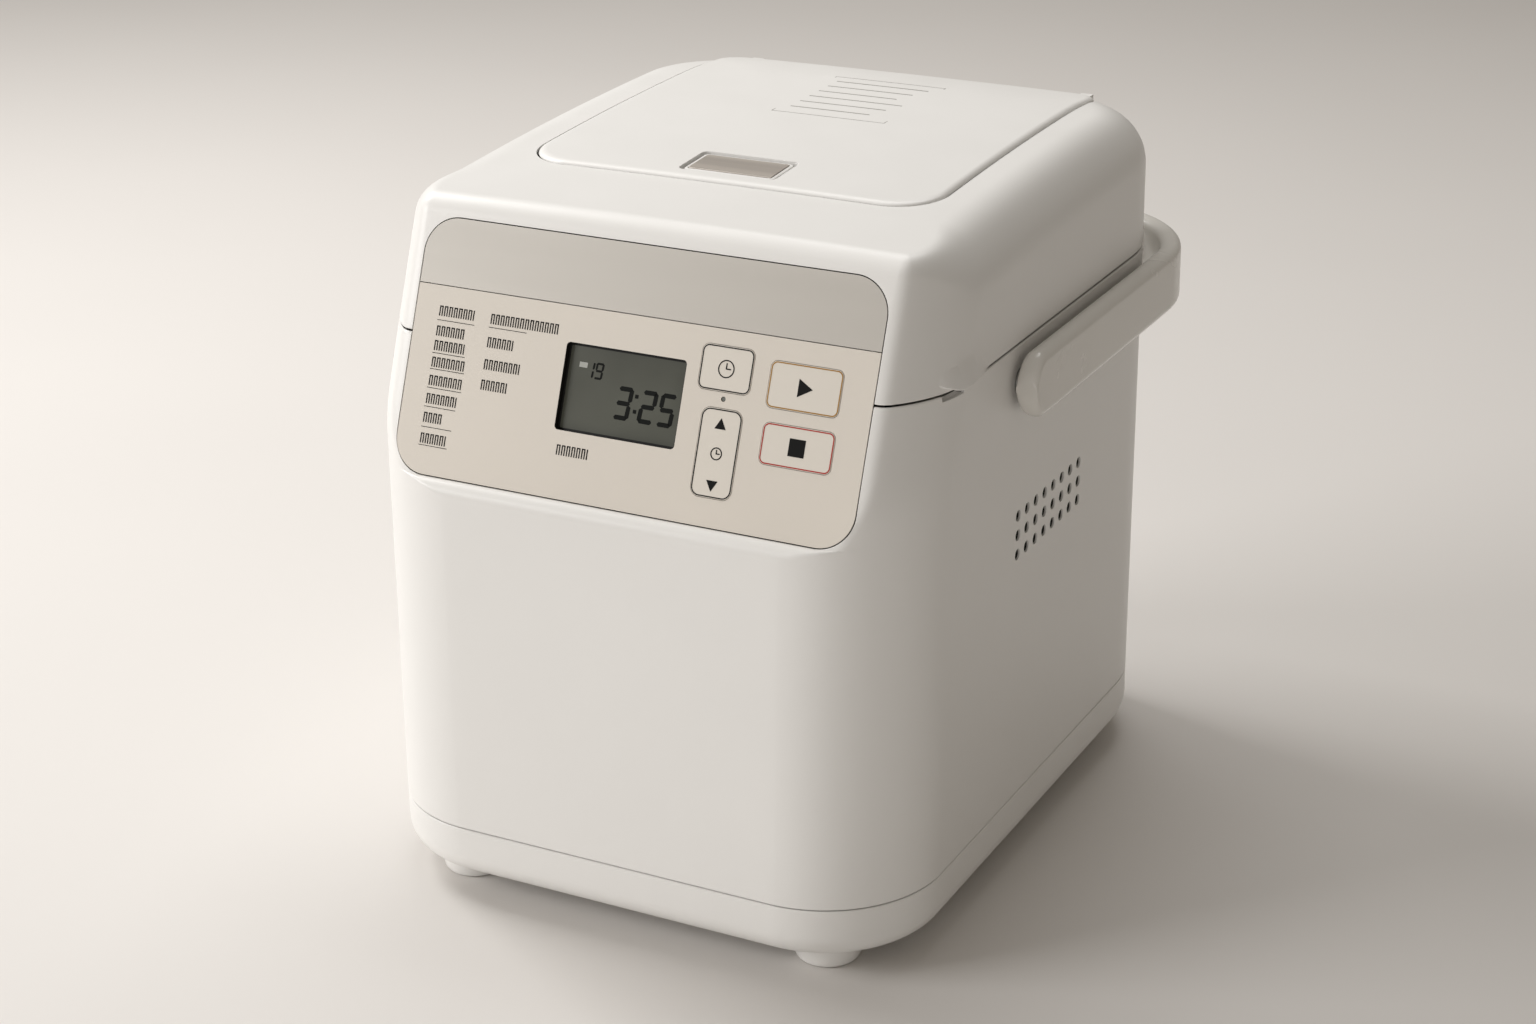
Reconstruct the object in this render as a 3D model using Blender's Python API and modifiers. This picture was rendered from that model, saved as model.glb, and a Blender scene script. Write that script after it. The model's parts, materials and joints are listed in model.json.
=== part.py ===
"""A compact bread machine: one object for each piece that would come apart on a bench.

Lengths are in millimetres, measured from the middle of the front face at the foot of the body:
x to the right, y towards the back, z up from the surface it stands on. MM and Y_MIDDLE turn
them into the scene's metres, whose origin is under the middle of the whole machine.
"""
import math

import bmesh
import bpy
from mathutils import Matrix, Vector

MM = 0.001
FIT = 0.3
WALL = 2.5

# Body
HALF_WIDTH = 108.0
SIDE_FLARE = 0.01
BODY_DEPTH = 272.0
FRONT_LEAN = 0.03
REAR_LEAN = 0.01
BASE_SEAM = 29.0
LID_SEAM = 209.0
FRONT_RADIUS = 45.0
REAR_RADIUS = 55.0
FRONT_EDGE = 2.8
TRAY_FLOOR = 8.0
TRAY_ROUNDING = 10.0

# Control panel: a flat plate that leans back above a rounded lip
PANEL_FOOT_Y = 9.2
PANEL_FOOT_Z = 163.0
PANEL_SLOPE = 0.398
PANEL_LENGTH = 91.0
PANEL_HALF_WIDTH = 90.2
PANEL_CORNER = 13.0
PANEL_THICKNESS = 2.5
STRIP_FROM = 67.0
LIP_HEIGHT = 5.0
CHORD_DEPTH = 10.7
BEND_SPREAD = 3.0

# Lid
TOP_HEIGHT = 260.5
TOP_FRONT_FALL = 6.5
TOP_REAR_FALL = 6.0
TOP_CREST_Y = 215.0
TOP_FRONT_Y = 50.0
CROWN = 1.0
TOP_ROUNDING_FRONT = 6.0
TOP_ROUNDING_SIDE = 20.0
TOP_ROUNDING_REAR = 25.0
LID_AXIS_Y = 270.5
LID_AXIS_Z = 209.0
KNUCKLE_RADIUS = 3.5

# Top cover
COVER_HALF_WIDTH = 81.0
COVER_FRONT = 89.0
COVER_REAR = 251.0
COVER_CORNER_FRONT = 18.0
COVER_CORNER_REAR = 9.0
COVER_PROUD = 1.2
COVER_THICKNESS = 2.4
COVER_AXIS_Y = 253.2
COVER_AXIS_Z = 256.6
COVER_ARM_X = 45.0
COVER_ARM_HALF = 9.0
COVER_EAR_X = 72.0
COVER_ROD_END = 74.0

# Latch in the cover's front edge
LATCH_HALF_X = 18.0
LATCH_FRONT = 97.0
LATCH_REAR = 115.0
LATCH_DEPTH = 5.0
LATCH_POCKET_GAP = 1.5
STIRRUP_LOW = 250.4
STIRRUP_FLOOR = 1.6
SPRING_TURNS = 3
SPRING_RADIUS = 3.0

# Finger tab on the right of the lid, over a pocket in the body
GRIP_FRONT = 44.6
GRIP_REAR = 79.0
GRIP_BULGE = 3.6
GRIP_LOW_RISE = 3.0
GRIP_LOW_SHARE = 0.25
GRIP_TOP_FRONT = 7.4
GRIP_TOP_PEAK = 10.5
GRIP_TOP_REAR = 1.6
GRIP_PEAK_SHARE = 0.63
POCKET_FRONT = 45.5
POCKET_REAR = 57.5
POCKET_DROP = 2.4
POCKET_DEPTH = 1.7

# Carry handle
HANDLE_OUTER = 120.0
HANDLE_REAR = 286.0
HANDLE_THICKNESS = 8.0
HANDLE_HEIGHT = 24.0
HANDLE_CORNER = 56.0
HANDLE_AXIS_Y = 106.0
HANDLE_AXIS_Z = 195.0
HANDLE_EDGE = 3.4
PIVOT_RADIUS = 4.5
PIVOT_HEAD_RADIUS = 7.0

# Baking chamber, pan and drive
CHAMBER_Y = 160.0
CHAMBER_HALF_X = 85.0
CHAMBER_HALF_Y = 92.0
CHAMBER_CORNER = 24.0
CHAMBER_FLOOR = 56.0
CHAMBER_TOP = 206.0
PAN_HALF_X = 65.0
PAN_HALF_Y = 73.0
PAN_CORNER = 20.0
PAN_FLOOR = 68.0
PAN_TOP = 196.0
PAN_WALL = 1.5
BAIL_Z = 189.5
BAIL_HALF_X = 72.0
BAIL_CORNER = 24.0
ELEMENT_Z = 76.0
ELEMENT_END_X = 14.0
SENSOR_X = 48.0
SENSOR_Z = 120.0
MOTOR_X = -64.0
MOTOR_Y = 37.0
MOTOR_RADIUS = 25.0
PLATE_Z = 46.0
PLATE_THICKNESS = 1.6
SHAFT_RADIUS = 4.0
BORE_RADIUS = 4.3
BEARING_BORE = 4.4
MOTOR_SHAFT_RADIUS = 3.0
MOTOR_BORE_RADIUS = 3.3
SHAFT_FOOT = 15.0
PULLEY_LOW = 19.0
PULLEY_HIGH = 33.0
PULLEY_FLANGE = 2.0
LARGE_PULLEY_RADIUS = 36.0
SMALL_PULLEY_RADIUS = 7.2
BELT_CLEARANCE = 0.4
BELT_THICKNESS = 1.8
DOG_RADIUS = 13.0
DOG_HUB_RADIUS = 7.0
DOG_WING_HALF = 2.2

# Side vents
VENT_COLUMNS = 8
VENT_ROWS = 3
VENT_PITCH_Y = 8.2
VENT_PITCH_Z = 7.5
VENT_FIRST_Y = 108.0
VENT_TOP_Z = 143.0
VENT_RADIUS = 2.2

# Feet, posts, lid hinge and power inlet
FEET = {"front_left": (-74.0, 24.0), "front_right": (74.0, 24.0),
        "rear_left": (-74.0, 242.0), "rear_right": (74.0, 242.0)}
POSTS = [(-80.0, 70.0), (80.0, 70.0), (-80.0, 236.0), (80.0, 236.0)]
POST_RADIUS = 5.0
SCREW_HOLE = 1.9
FOOT_PEG = 4.0
FLOOR_SLOTS = 5
HINGE_X = 62.0
KNUCKLE_LENGTH = 16.0
EAR_LENGTH = 8.0
HINGE_BORE = 1.9
HINGE_PIN_RADIUS = 1.5
INLET = (-62.0, 270.0, 52.0)

# Openings in the panel: left, bottom, right and top, measured across and up its face
PANEL_GAP = 0.4
DISPLAY = (-27.3, 23.8, 20.0, 54.4)
TIMER_KEY = (25.1, 45.9, 45.0, 61.4)
ROCKER_KEY = (28.4, 9.9, 44.0, 40.3)
START_KEY = (51.4, 43.3, 78.4, 59.2)
CANCEL_KEY = (52.0, 24.3, 78.8, 38.5)
KEYS = {"timer_button": (TIMER_KEY, 2.6), "timer_rocker": (ROCKER_KEY, 3.4),
        "start_button": (START_KEY, 2.4), "cancel_button": (CANCEL_KEY, 2.4)}
KEY_GAP = 0.35
KEY_PROUD = 0.15
KEY_BACK = -4.4
MAT_FRONT = -6.0
BOARD_FRONT = -9.0
LAMP = (35.6, 43.5)

# Inside the lid
DECK_TOP = 249.0
LID_PLATE_LOW = 210.3
LID_PLATE_HIGH = 212.3
LINER_LOW = 208.7
SEAL_LOW = 207.8
LINER_HIGH = 210.0
HOOD_HALF_X = 93.2
HOOD_WALL = 2.0
TRAY_LOW = 214.4
FLAP_FRONT = 126.0
FLAP_REAR = 182.0
FLAP_HALF_X = 30.0
FLAP_AXIS_Z = 210.6
FLAP_GAP = 0.8

Y_MIDDLE = HANDLE_REAR / 2

scene = bpy.context.scene
for old in list(bpy.data.objects):
    bpy.data.objects.remove(old)
parts = bpy.data.collections.new("bread_machine")
cutters = bpy.data.collections.new("cutters")
scene.collection.children.link(parts)
scene.collection.children.link(cutters)


# ---------------------------------------------------------------- materials

def make_material(name, colour, roughness, metallic=0.0):
    material = bpy.data.materials.new(name)
    material.use_nodes = True
    shader = material.node_tree.nodes["Principled BSDF"]
    shader.inputs["Base Color"].default_value = (*colour, 1.0)
    shader.inputs["Roughness"].default_value = roughness
    shader.inputs["Metallic"].default_value = metallic
    return material


WHITE = make_material("white_plastic", (0.80, 0.78, 0.75), 0.35)
BEIGE = make_material("beige_panel", (0.66, 0.60, 0.52), 0.45)
SILVER = make_material("silver_strip", (0.60, 0.58, 0.55), 0.35, 0.6)
GREY = make_material("grey_plastic", (0.45, 0.44, 0.41), 0.4)
LATCH = make_material("latch_metal", (0.36, 0.32, 0.28), 0.3, 0.8)
LENS = make_material("display_lens", (0.10, 0.12, 0.10), 0.1)
LCD = make_material("display_glass", (0.22, 0.25, 0.21), 0.25)
BOARD = make_material("circuit_board", (0.05, 0.22, 0.09), 0.5)
STEEL = make_material("sheet_steel", (0.60, 0.60, 0.58), 0.35, 1.0)
ALUMINIUM = make_material("aluminium", (0.75, 0.75, 0.74), 0.3, 1.0)
COATING = make_material("non_stick", (0.07, 0.07, 0.07), 0.45)
RUBBER = make_material("rubber", (0.05, 0.05, 0.05), 0.8)
SILICONE = make_material("silicone", (0.55, 0.54, 0.52), 0.6)
COPPER = make_material("copper", (0.70, 0.36, 0.20), 0.35, 1.0)


# ---------------------------------------------------------------- making objects

def world(x, y, z):
    return Vector((x, y - Y_MIDDLE, z)) * MM


def link_mesh(name, mesh, material, collection=parts):
    obj = bpy.data.objects.new(name, mesh)
    collection.objects.link(obj)
    if material is not None:
        mesh.materials.append(material)
    if collection is cutters:
        obj.hide_render = True
        obj.display_type = "WIRE"
    return obj


def place(name, bm, material, origin=(0.0, Y_MIDDLE, 0.0), collection=parts, sharp=40.0):
    """Makes an object of a bmesh in millimetres, with its origin at the given point."""
    bmesh.ops.remove_doubles(bm, verts=bm.verts, dist=0.01)
    start = world(*origin)
    for vert in bm.verts:
        vert.co = world(*vert.co) - start
    bmesh.ops.recalc_face_normals(bm, faces=bm.faces)
    mesh = bpy.data.meshes.new(name)
    bm.to_mesh(mesh)
    bm.free()
    obj = link_mesh(name, mesh, material, collection)
    obj.location = start
    mesh.shade_smooth()
    mesh.set_sharp_from_angle(angle=math.radians(sharp))
    return obj


def cutter(bm):
    return place("cutter", bm, None, collection=cutters)


def box(low, high, matrix=Matrix.Identity(4)):
    """A box between two corners, then moved by a matrix."""
    bm = bmesh.new()
    low = Vector(low)
    high = Vector(high)
    size = Matrix.Diagonal((*(high - low), 1.0))
    bmesh.ops.create_cube(bm, size=1.0, matrix=matrix @ Matrix.Translation((low + high) / 2) @ size)
    return bm


TURN = {"X": Matrix.Rotation(math.pi / 2, 4, "Y"), "Y": Matrix.Rotation(-math.pi / 2, 4, "X"),
        "Z": Matrix.Identity(4)}


def drum(centre, radius, length, axis="Z", sides=24, end_radius=None, matrix=Matrix.Identity(4)):
    """A cylinder or cone whose middle is at centre and which runs along an axis."""
    bm = bmesh.new()
    bmesh.ops.create_cone(
        bm, cap_ends=True, segments=sides, radius1=radius,
        radius2=radius if end_radius is None else end_radius, depth=length,
        matrix=matrix @ Matrix.Translation(centre) @ TURN[axis])
    return bm


def cut(obj, *tools):
    for tool in tools:
        modifier = obj.modifiers.new("cut", "BOOLEAN")
        modifier.operation = "DIFFERENCE"
        modifier.object = tool
        modifier.solver = "EXACT"


def join(obj, *tools):
    for tool in tools:
        modifier = obj.modifiers.new("join", "BOOLEAN")
        modifier.operation = "UNION"
        modifier.object = tool
        modifier.solver = "EXACT"


def bevel(obj, width, segments=2, angle=40.0):
    modifier = obj.modifiers.new("edges", "BEVEL")
    modifier.width = width * MM
    modifier.segments = segments
    modifier.limit_method = "ANGLE"
    modifier.angle_limit = math.radians(angle)
    return obj


def thicken(obj, thickness, offset=-1.0):
    """Gives a skin its wall: behind its faces at -1, in front of them at 1."""
    modifier = obj.modifiers.new("wall", "SOLIDIFY")
    modifier.thickness = thickness * MM
    modifier.offset = offset
    modifier.use_even_offset = True
    return obj


def turned(name, profile, centre, material, steps=24):
    """A turned piece: the profile's (radius, z) points run down its outer side, top to bottom."""
    mesh = bpy.data.meshes.new(name)
    points = [(radius * MM, 0.0, z * MM) for radius, z in profile]
    mesh.from_pydata(points, [(i, i + 1) for i in range(len(points) - 1)], [])
    obj = link_mesh(name, mesh, material)
    obj.location = world(*centre)
    modifier = obj.modifiers.new("turn", "SCREW")
    modifier.steps = steps
    modifier.render_steps = steps
    modifier.use_merge_vertices = True
    modifier.merge_threshold = 0.00001
    modifier.use_smooth_shade = True
    return obj


def meshed(curve_object, material):
    """Turns a curve object into a mesh object with its caps welded on."""
    bpy.context.view_layer.update()
    evaluated = curve_object.evaluated_get(bpy.context.evaluated_depsgraph_get())
    mesh = bpy.data.meshes.new_from_object(evaluated)
    bm = bmesh.new()
    bm.from_mesh(mesh)
    bmesh.ops.remove_doubles(bm, verts=bm.verts, dist=0.00001)
    bm.to_mesh(mesh)
    bm.free()
    name = curve_object.name
    matrix = curve_object.matrix_world.copy()
    curve = curve_object.data
    bpy.data.objects.remove(curve_object)
    bpy.data.curves.remove(curve)
    mesh.materials.clear()
    mesh.shade_smooth()
    mesh.set_sharp_from_angle(angle=math.radians(40.0))
    obj = link_mesh(name, mesh, material)
    obj.matrix_world = matrix
    return obj


def wire(name, points, radius, material, origin=(0.0, Y_MIDDLE, 0.0), closed=False, resolution=2):
    """A round wire or rod along points in millimetres."""
    curve = bpy.data.curves.new(name, "CURVE")
    curve.dimensions = "3D"
    curve.bevel_depth = radius * MM
    curve.bevel_resolution = resolution
    curve.use_fill_caps = not closed
    start = world(*origin)
    spline = curve.splines.new("POLY")
    spline.points.add(len(points) - 1)
    for control, point in zip(spline.points, points):
        control.co = (*(world(*point) - start), 1.0)
    spline.use_cyclic_u = closed
    obj = bpy.data.objects.new(name, curve)
    parts.objects.link(obj)
    obj.location = start
    return meshed(obj, material)


def flat(name, outline, thickness, material, matrix):
    """A flat plate: its outline is in the plane of the matrix, and it is thick both ways."""
    curve = bpy.data.curves.new(name, "CURVE")
    curve.dimensions = "2D"
    curve.fill_mode = "BOTH"
    curve.extrude = thickness * MM / 2
    spline = curve.splines.new("POLY")
    spline.points.add(len(outline) - 1)
    for control, point in zip(spline.points, outline):
        control.co = (point[0] * MM, point[1] * MM, 0.0, 1.0)
    spline.use_cyclic_u = True
    obj = bpy.data.objects.new(name, curve)
    parts.objects.link(obj)
    place_at = matrix.copy()
    place_at.translation = world(*matrix.translation)
    obj.matrix_world = place_at
    return meshed(obj, material)


def loft(rings, bottom_cap=False, top_cap=False):
    """Joins rings of points, lowest first, with quads. Each ring is closed."""
    bm = bmesh.new()
    loops = [[bm.verts.new(point) for point in ring] for ring in rings]
    count = len(rings[0])
    for lower, upper in zip(loops, loops[1:]):
        for i in range(count):
            j = (i + 1) % count
            bm.faces.new((lower[i], lower[j], upper[j], upper[i]))
    if bottom_cap:
        bm.faces.new(list(reversed(loops[0])))
    if top_cap:
        bm.faces.new(loops[-1])
    return bm


def rounded(low, high, radius, steps=6):
    """Points round a rectangle with round corners, anticlockwise."""
    centres = [(high[0] - radius, low[1] + radius, -90), (high[0] - radius, high[1] - radius, 0),
               (low[0] + radius, high[1] - radius, 90), (low[0] + radius, low[1] + radius, 180)]
    points = []
    for x, y, start in centres:
        for k in range(steps + 1):
            angle = math.radians(start + 90 * k / steps)
            points.append((x + radius * math.cos(angle), y + radius * math.sin(angle)))
    return points


def prism(outline, low, high):
    """A solid between two heights over an outline in x and y."""
    rings = [[(x, y, z) for x, y in outline] for z in (low, high)]
    return loft(rings, True, True)


def side_prism(profile, left, right):
    """A solid across the machine over a profile in y and z."""
    rings = [[(x, y, z) for y, z in profile] for x in (left, right)]
    return loft(rings, True, True)


def prism_y(outline, low, high):
    """A solid from front to back over an outline in x and z."""
    rings = [[(x, y, z) for x, z in outline] for y in (high, low)]
    return loft(rings, True, True)


# ---------------------------------------------------------------- the body's form

def smoothstep(low, high, value):
    t = min(max((value - low) / (high - low), 0.0), 1.0)
    return t * t * (3 - 2 * t)


def panel_y(z):
    return PANEL_FOOT_Y + (z - PANEL_FOOT_Z) * PANEL_SLOPE


def form_at(z):
    """Half width, front of the corner arcs, depth of the flat chord, and rear, at a height."""
    rise = min(max(z, BASE_SEAM), LID_SEAM) - BASE_SEAM
    half = HALF_WIDTH + SIDE_FLARE * rise
    rear = BODY_DEPTH - REAR_LEAN * rise
    lean = FRONT_LEAN * (max(z, BASE_SEAM) - BASE_SEAM)
    excess = panel_y(z) - CHORD_DEPTH - lean
    if excess > BEND_SPREAD:
        front = lean + excess
    elif excess > -BEND_SPREAD:
        front = lean + (excess + BEND_SPREAD) ** 2 / (4 * BEND_SPREAD)
    else:
        front = lean
    lip_start = PANEL_FOOT_Z - LIP_HEIGHT
    if z >= PANEL_FOOT_Z:
        chord = panel_y(z) - front
    elif z > lip_start:
        part = (z - lip_start) / LIP_HEIGHT
        full = PANEL_FOOT_Y - FRONT_LEAN * (PANEL_FOOT_Z - BASE_SEAM)
        chord = full * (1 - math.sqrt(1 - part * part))
    else:
        chord = 0.0
    return half, front, chord, rear


def plan(z, corner_steps=6, side_steps=3, end_steps=2):
    """The body's outline at a height, as (x, y, normal_x, normal_y), anticlockwise from the front."""
    half, front, chord, rear = form_at(z)
    centre_x = half - FRONT_RADIUS
    centre_y = front + FRONT_RADIUS
    meet = math.acos(1 - chord / FRONT_RADIUS)
    edge_x = centre_x + FRONT_RADIUS * math.sin(meet)
    flat_x = edge_x - FRONT_EDGE
    after = meet + FRONT_EDGE / FRONT_RADIUS
    right = []
    for k in range(end_steps + 1):
        right.append((flat_x * k / end_steps, front + chord, 0.0, -1.0))
    end = (centre_x + FRONT_RADIUS * math.sin(after), centre_y - FRONT_RADIUS * math.cos(after))
    for k in (1, 2):
        t = k / 3
        x = (1 - t) ** 2 * flat_x + 2 * t * (1 - t) * edge_x + t * t * end[0]
        y = (1 - t * t) * (front + chord) + t * t * end[1]
        right.append((x, y, math.sin(after * t), -math.cos(after * t)))
    for k in range(corner_steps + 1):
        angle = after + (math.pi / 2 - after) * k / corner_steps
        right.append((centre_x + FRONT_RADIUS * math.sin(angle), centre_y - FRONT_RADIUS * math.cos(angle),
                      math.sin(angle), -math.cos(angle)))
    side_end = rear - REAR_RADIUS
    for k in range(1, side_steps):
        right.append((half, centre_y + (side_end - centre_y) * k / side_steps, 1.0, 0.0))
    for k in range(corner_steps + 1):
        angle = math.pi / 2 * k / corner_steps
        right.append((half - REAR_RADIUS + REAR_RADIUS * math.cos(angle),
                      side_end + REAR_RADIUS * math.sin(angle), math.cos(angle), math.sin(angle)))
    for k in range(1, end_steps + 1):
        right.append(((half - REAR_RADIUS) * (1 - k / end_steps), rear, 0.0, 1.0))
    left = [(-x, y, -nx, ny) for x, y, nx, ny in reversed(right[1:-1])]
    return right + left


def inset_plan(z, inset):
    return [(x - nx * inset, y - ny * inset) for x, y, nx, ny in plan(z)]


def top_z(x, y):
    """Height of the lid's top face."""
    if y < TOP_CREST_Y:
        fall = TOP_FRONT_FALL * ((TOP_CREST_Y - y) / (TOP_CREST_Y - TOP_FRONT_Y)) ** 2
    else:
        fall = TOP_REAR_FALL * ((y - TOP_CREST_Y) / (BODY_DEPTH - TOP_CREST_Y)) ** 2
    return TOP_HEIGHT - fall + CROWN * (1 - (x / HALF_WIDTH) ** 2)


def top_rounding(nx, ny):
    """Radius of the lid's top edge, from the direction that the wall faces."""
    if ny > 0:
        return TOP_ROUNDING_SIDE + (TOP_ROUNDING_REAR - TOP_ROUNDING_SIDE) * ny * ny
    facing = math.degrees(math.asin(min(abs(nx), 1.0)))
    blend = smoothstep(40.0, 90.0, facing)
    return TOP_ROUNDING_FRONT + (TOP_ROUNDING_SIDE - TOP_ROUNDING_FRONT) * blend


def lid_rings(wall_low, levels=2, arc_steps=4, top_scales=(0.85, 0.55, 0.25)):
    """The lid's outer skin, as rings from its lower edge to the middle of its top."""
    tops = []
    for i, (x, y, nx, ny) in enumerate(plan(LID_SEAM)):
        radius = top_rounding(nx, ny)
        z = TOP_HEIGHT
        for _ in range(6):
            px, py, _, _ = plan(z)[i]
            z = top_z(px - nx * radius, py - ny * radius)
        tops.append((z, radius))
    rings = []
    for k in range(levels):
        ring = []
        for i, (z_top, radius) in enumerate(tops):
            z = wall_low + (z_top - radius - wall_low) * k / levels
            ring.append((*plan(z)[i][:2], z))
        rings.append(ring)
    for k in range(arc_steps + 1):
        angle = math.pi / 2 * k / arc_steps
        ring = []
        for i, (z_top, radius) in enumerate(tops):
            z = z_top - radius * (1 - math.sin(angle))
            x, y, nx, ny = plan(z)[i]
            inset = radius * (1 - math.cos(angle))
            ring.append((x - nx * inset, y - ny * inset, z))
        rings.append(ring)
    edge = rings[-1]
    middle_y = (COVER_FRONT + COVER_REAR) / 2
    for scale in top_scales:
        ring = []
        for x, y, _ in edge:
            px = x * scale
            py = middle_y + (y - middle_y) * scale
            ring.append((px, py, top_z(px, py)))
        rings.append(ring)
    return rings


PANEL = Matrix(((1, 0, 0, 0),
                (0, math.sin(math.atan(PANEL_SLOPE)), -math.cos(math.atan(PANEL_SLOPE)), PANEL_FOOT_Y),
                (0, math.cos(math.atan(PANEL_SLOPE)), math.sin(math.atan(PANEL_SLOPE)), PANEL_FOOT_Z),
                (0, 0, 0, 1)))


def on_panel(u, v, w):
    """A point u across, v up and w out from the panel's front face."""
    return tuple(PANEL @ Vector((u, v, w)))


def panel_prism(outline, low, high):
    """A solid over an outline on the panel's face, between two distances out from it."""
    rings = [[on_panel(u, v, w) for u, v in outline] for w in (low, high)]
    return loft(rings, True, True)


def panel_plate(name, outline, front, back, material):
    matrix = PANEL @ Matrix.Translation((0, 0, (front + back) / 2))
    return flat(name, outline, front - back, material, matrix)


# ---------------------------------------------------------------- casing

PANEL_OPENING = rounded((-PANEL_HALF_WIDTH - PANEL_GAP, -PANEL_GAP),
                        (PANEL_HALF_WIDTH + PANEL_GAP, PANEL_LENGTH + PANEL_GAP), PANEL_CORNER + PANEL_GAP)


def make_base_tray():
    rings = []
    for k in range(5):
        angle = math.pi / 2 * k / 4
        z = TRAY_FLOOR + TRAY_ROUNDING * (1 - math.cos(angle))
        rings.append([(x, y, z) for x, y in inset_plan(BASE_SEAM, TRAY_ROUNDING * (1 - math.sin(angle)))])
    rings.append([(x, y, BASE_SEAM - FIT) for x, y in inset_plan(BASE_SEAM, 0.0)])
    tray = thicken(place("base_tray", loft(rings, bottom_cap=True), WHITE), WALL)
    floor = TRAY_FLOOR + WALL
    for x, y in POSTS:
        join(tray, cutter(drum((x, y, (floor + PLATE_Z) / 2 - 0.65), POST_RADIUS, PLATE_Z - floor + 0.7, sides=16)))
        cut(tray, cutter(drum((x, y, PLATE_Z - 5), SCREW_HOLE, 12.0, sides=12)))
    for k in range(FLOOR_SLOTS):
        cut(tray, cutter(box((-40 + 18 * k, 110, 0), (-36 + 18 * k, 210, 20))))
    for x, y in FEET.values():
        cut(tray, cutter(drum((x, y, TRAY_FLOOR), FOOT_PEG + FIT, 12.0, sides=16)))


def make_feet():
    peg_top = TRAY_FLOOR + 5.5
    shoulder = TRAY_FLOOR - FIT
    profile = [(0, peg_top), (FOOT_PEG, peg_top), (FOOT_PEG, shoulder), (12.8, shoulder), (12.6, 4.0),
               (11.8, 1.2), (10.4, 0.0), (0, 0.0)]
    for side, (x, y) in FEET.items():
        turned(f"foot_{side}", profile, (x, y, 0), WHITE, 16)


def side_vents(side):
    holes = []
    for column in range(VENT_COLUMNS):
        for row in range(VENT_ROWS):
            y = VENT_FIRST_Y + column * VENT_PITCH_Y
            z = VENT_TOP_Z - row * VENT_PITCH_Z
            holes.append(drum((side * HALF_WIDTH, y, z), VENT_RADIUS, 12.0, "X", 6))
    merged = bmesh.new()
    for hole in holes:
        mesh = bpy.data.meshes.new("hole")
        hole.to_mesh(mesh)
        hole.free()
        merged.from_mesh(mesh)
        bpy.data.meshes.remove(mesh)
    return merged


def hinge_spans():
    """Where each hinge has its two fixed ears and its moving knuckle, along x."""
    for side in (-1, 1):
        middle = side * HINGE_X
        start = middle - KNUCKLE_LENGTH / 2
        end = middle + KNUCKLE_LENGTH / 2
        yield side, (start - FIT - EAR_LENGTH, start - FIT), (start, end), (end + FIT, end + FIT + EAR_LENGTH)


def barrel(span, radius):
    length = span[1] - span[0]
    return drum(((span[0] + span[1]) / 2, LID_AXIS_Y, LID_AXIS_Z), radius, length, "X", 20)


def make_housing():
    heights = [BASE_SEAM, 158.0, 160.0, 161.8, 162.7, 163.0, 170.0, 177.0, 184.0, LID_SEAM - 0.5]
    rings = [[(x, y, z) for x, y in inset_plan(z, 0.0)] for z in heights]
    housing = thicken(place("housing", loft(rings), WHITE), WALL)
    cut(housing, cutter(panel_prism(PANEL_OPENING, -9.0, 25.0)))
    for side in (-1, 1):
        cut(housing, cutter(side_vents(side)))
        cut(housing, cutter(drum((side * HALF_WIDTH, HANDLE_AXIS_Y, HANDLE_AXIS_Z), PIVOT_RADIUS + 0.4, 14.0, "X")))
    cut(housing, cutter(grip_pocket()))
    for _, first, knuckle, last in hinge_spans():
        notch = (knuckle[0] - FIT, knuckle[1] + FIT)
        cut(housing, cutter(barrel(notch, KNUCKLE_RADIUS + 0.7)))
        for ear in (first, last):
            join(housing, cutter(barrel(ear, KNUCKLE_RADIUS)))
            cut(housing, cutter(barrel((ear[0] - 0.1, ear[1] + 0.1), HINGE_BORE)))
    x, y, z = INLET
    cut(housing, cutter(box((x - 14.3, y - 8, z - 9.3), (x + 14.3, y + 8, z + 9.3))))


def make_lid():
    lid = thicken(place("lid_outer", loft(lid_rings(LID_SEAM + 0.2), top_cap=True), WHITE), WALL)
    cut(lid, cutter(panel_prism(PANEL_OPENING, -9.0, 25.0)))
    cut(lid, cutter(prism(cover_outline(0.6, 4.7), 235.0, 275.0)))
    join(lid, cutter(grip_tab()))
    for side in (-1, 1):
        ear = (side * COVER_EAR_X - 2.5, side * COVER_EAR_X + 2.5)
        join(lid, cutter(box((ear[0], COVER_AXIS_Y - 2.2, COVER_AXIS_Z - 2.0), (ear[1], 260.0, COVER_AXIS_Z + 0.6))))
        cut(lid, cutter(drum((side * COVER_EAR_X, COVER_AXIS_Y, COVER_AXIS_Z), 1.2, 5.2, "X", 12)))
    for _, first, knuckle, last in hinge_spans():
        for ear in (first, last):
            cut(lid, cutter(barrel((ear[0] - FIT, ear[1] + FIT), KNUCKLE_RADIUS + 0.7)))
        join(lid, cutter(barrel(knuckle, KNUCKLE_RADIUS)))
        join(lid, cutter(box((knuckle[0], 267.9, LID_AXIS_Z + 0.8), (knuckle[1], 271.0, LID_AXIS_Z + 6))))
        cut(lid, cutter(barrel((knuckle[0] - 0.1, knuckle[1] + 0.1), HINGE_BORE)))


def side_wall_x(y, z=LID_SEAM):
    """How far out the body's side is, for a place between its front and rear arcs."""
    half, front, _, _ = form_at(z)
    before = max(front + FRONT_RADIUS - y, 0.0)
    return half - FRONT_RADIUS + math.sqrt(FRONT_RADIUS ** 2 - before ** 2)


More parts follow.
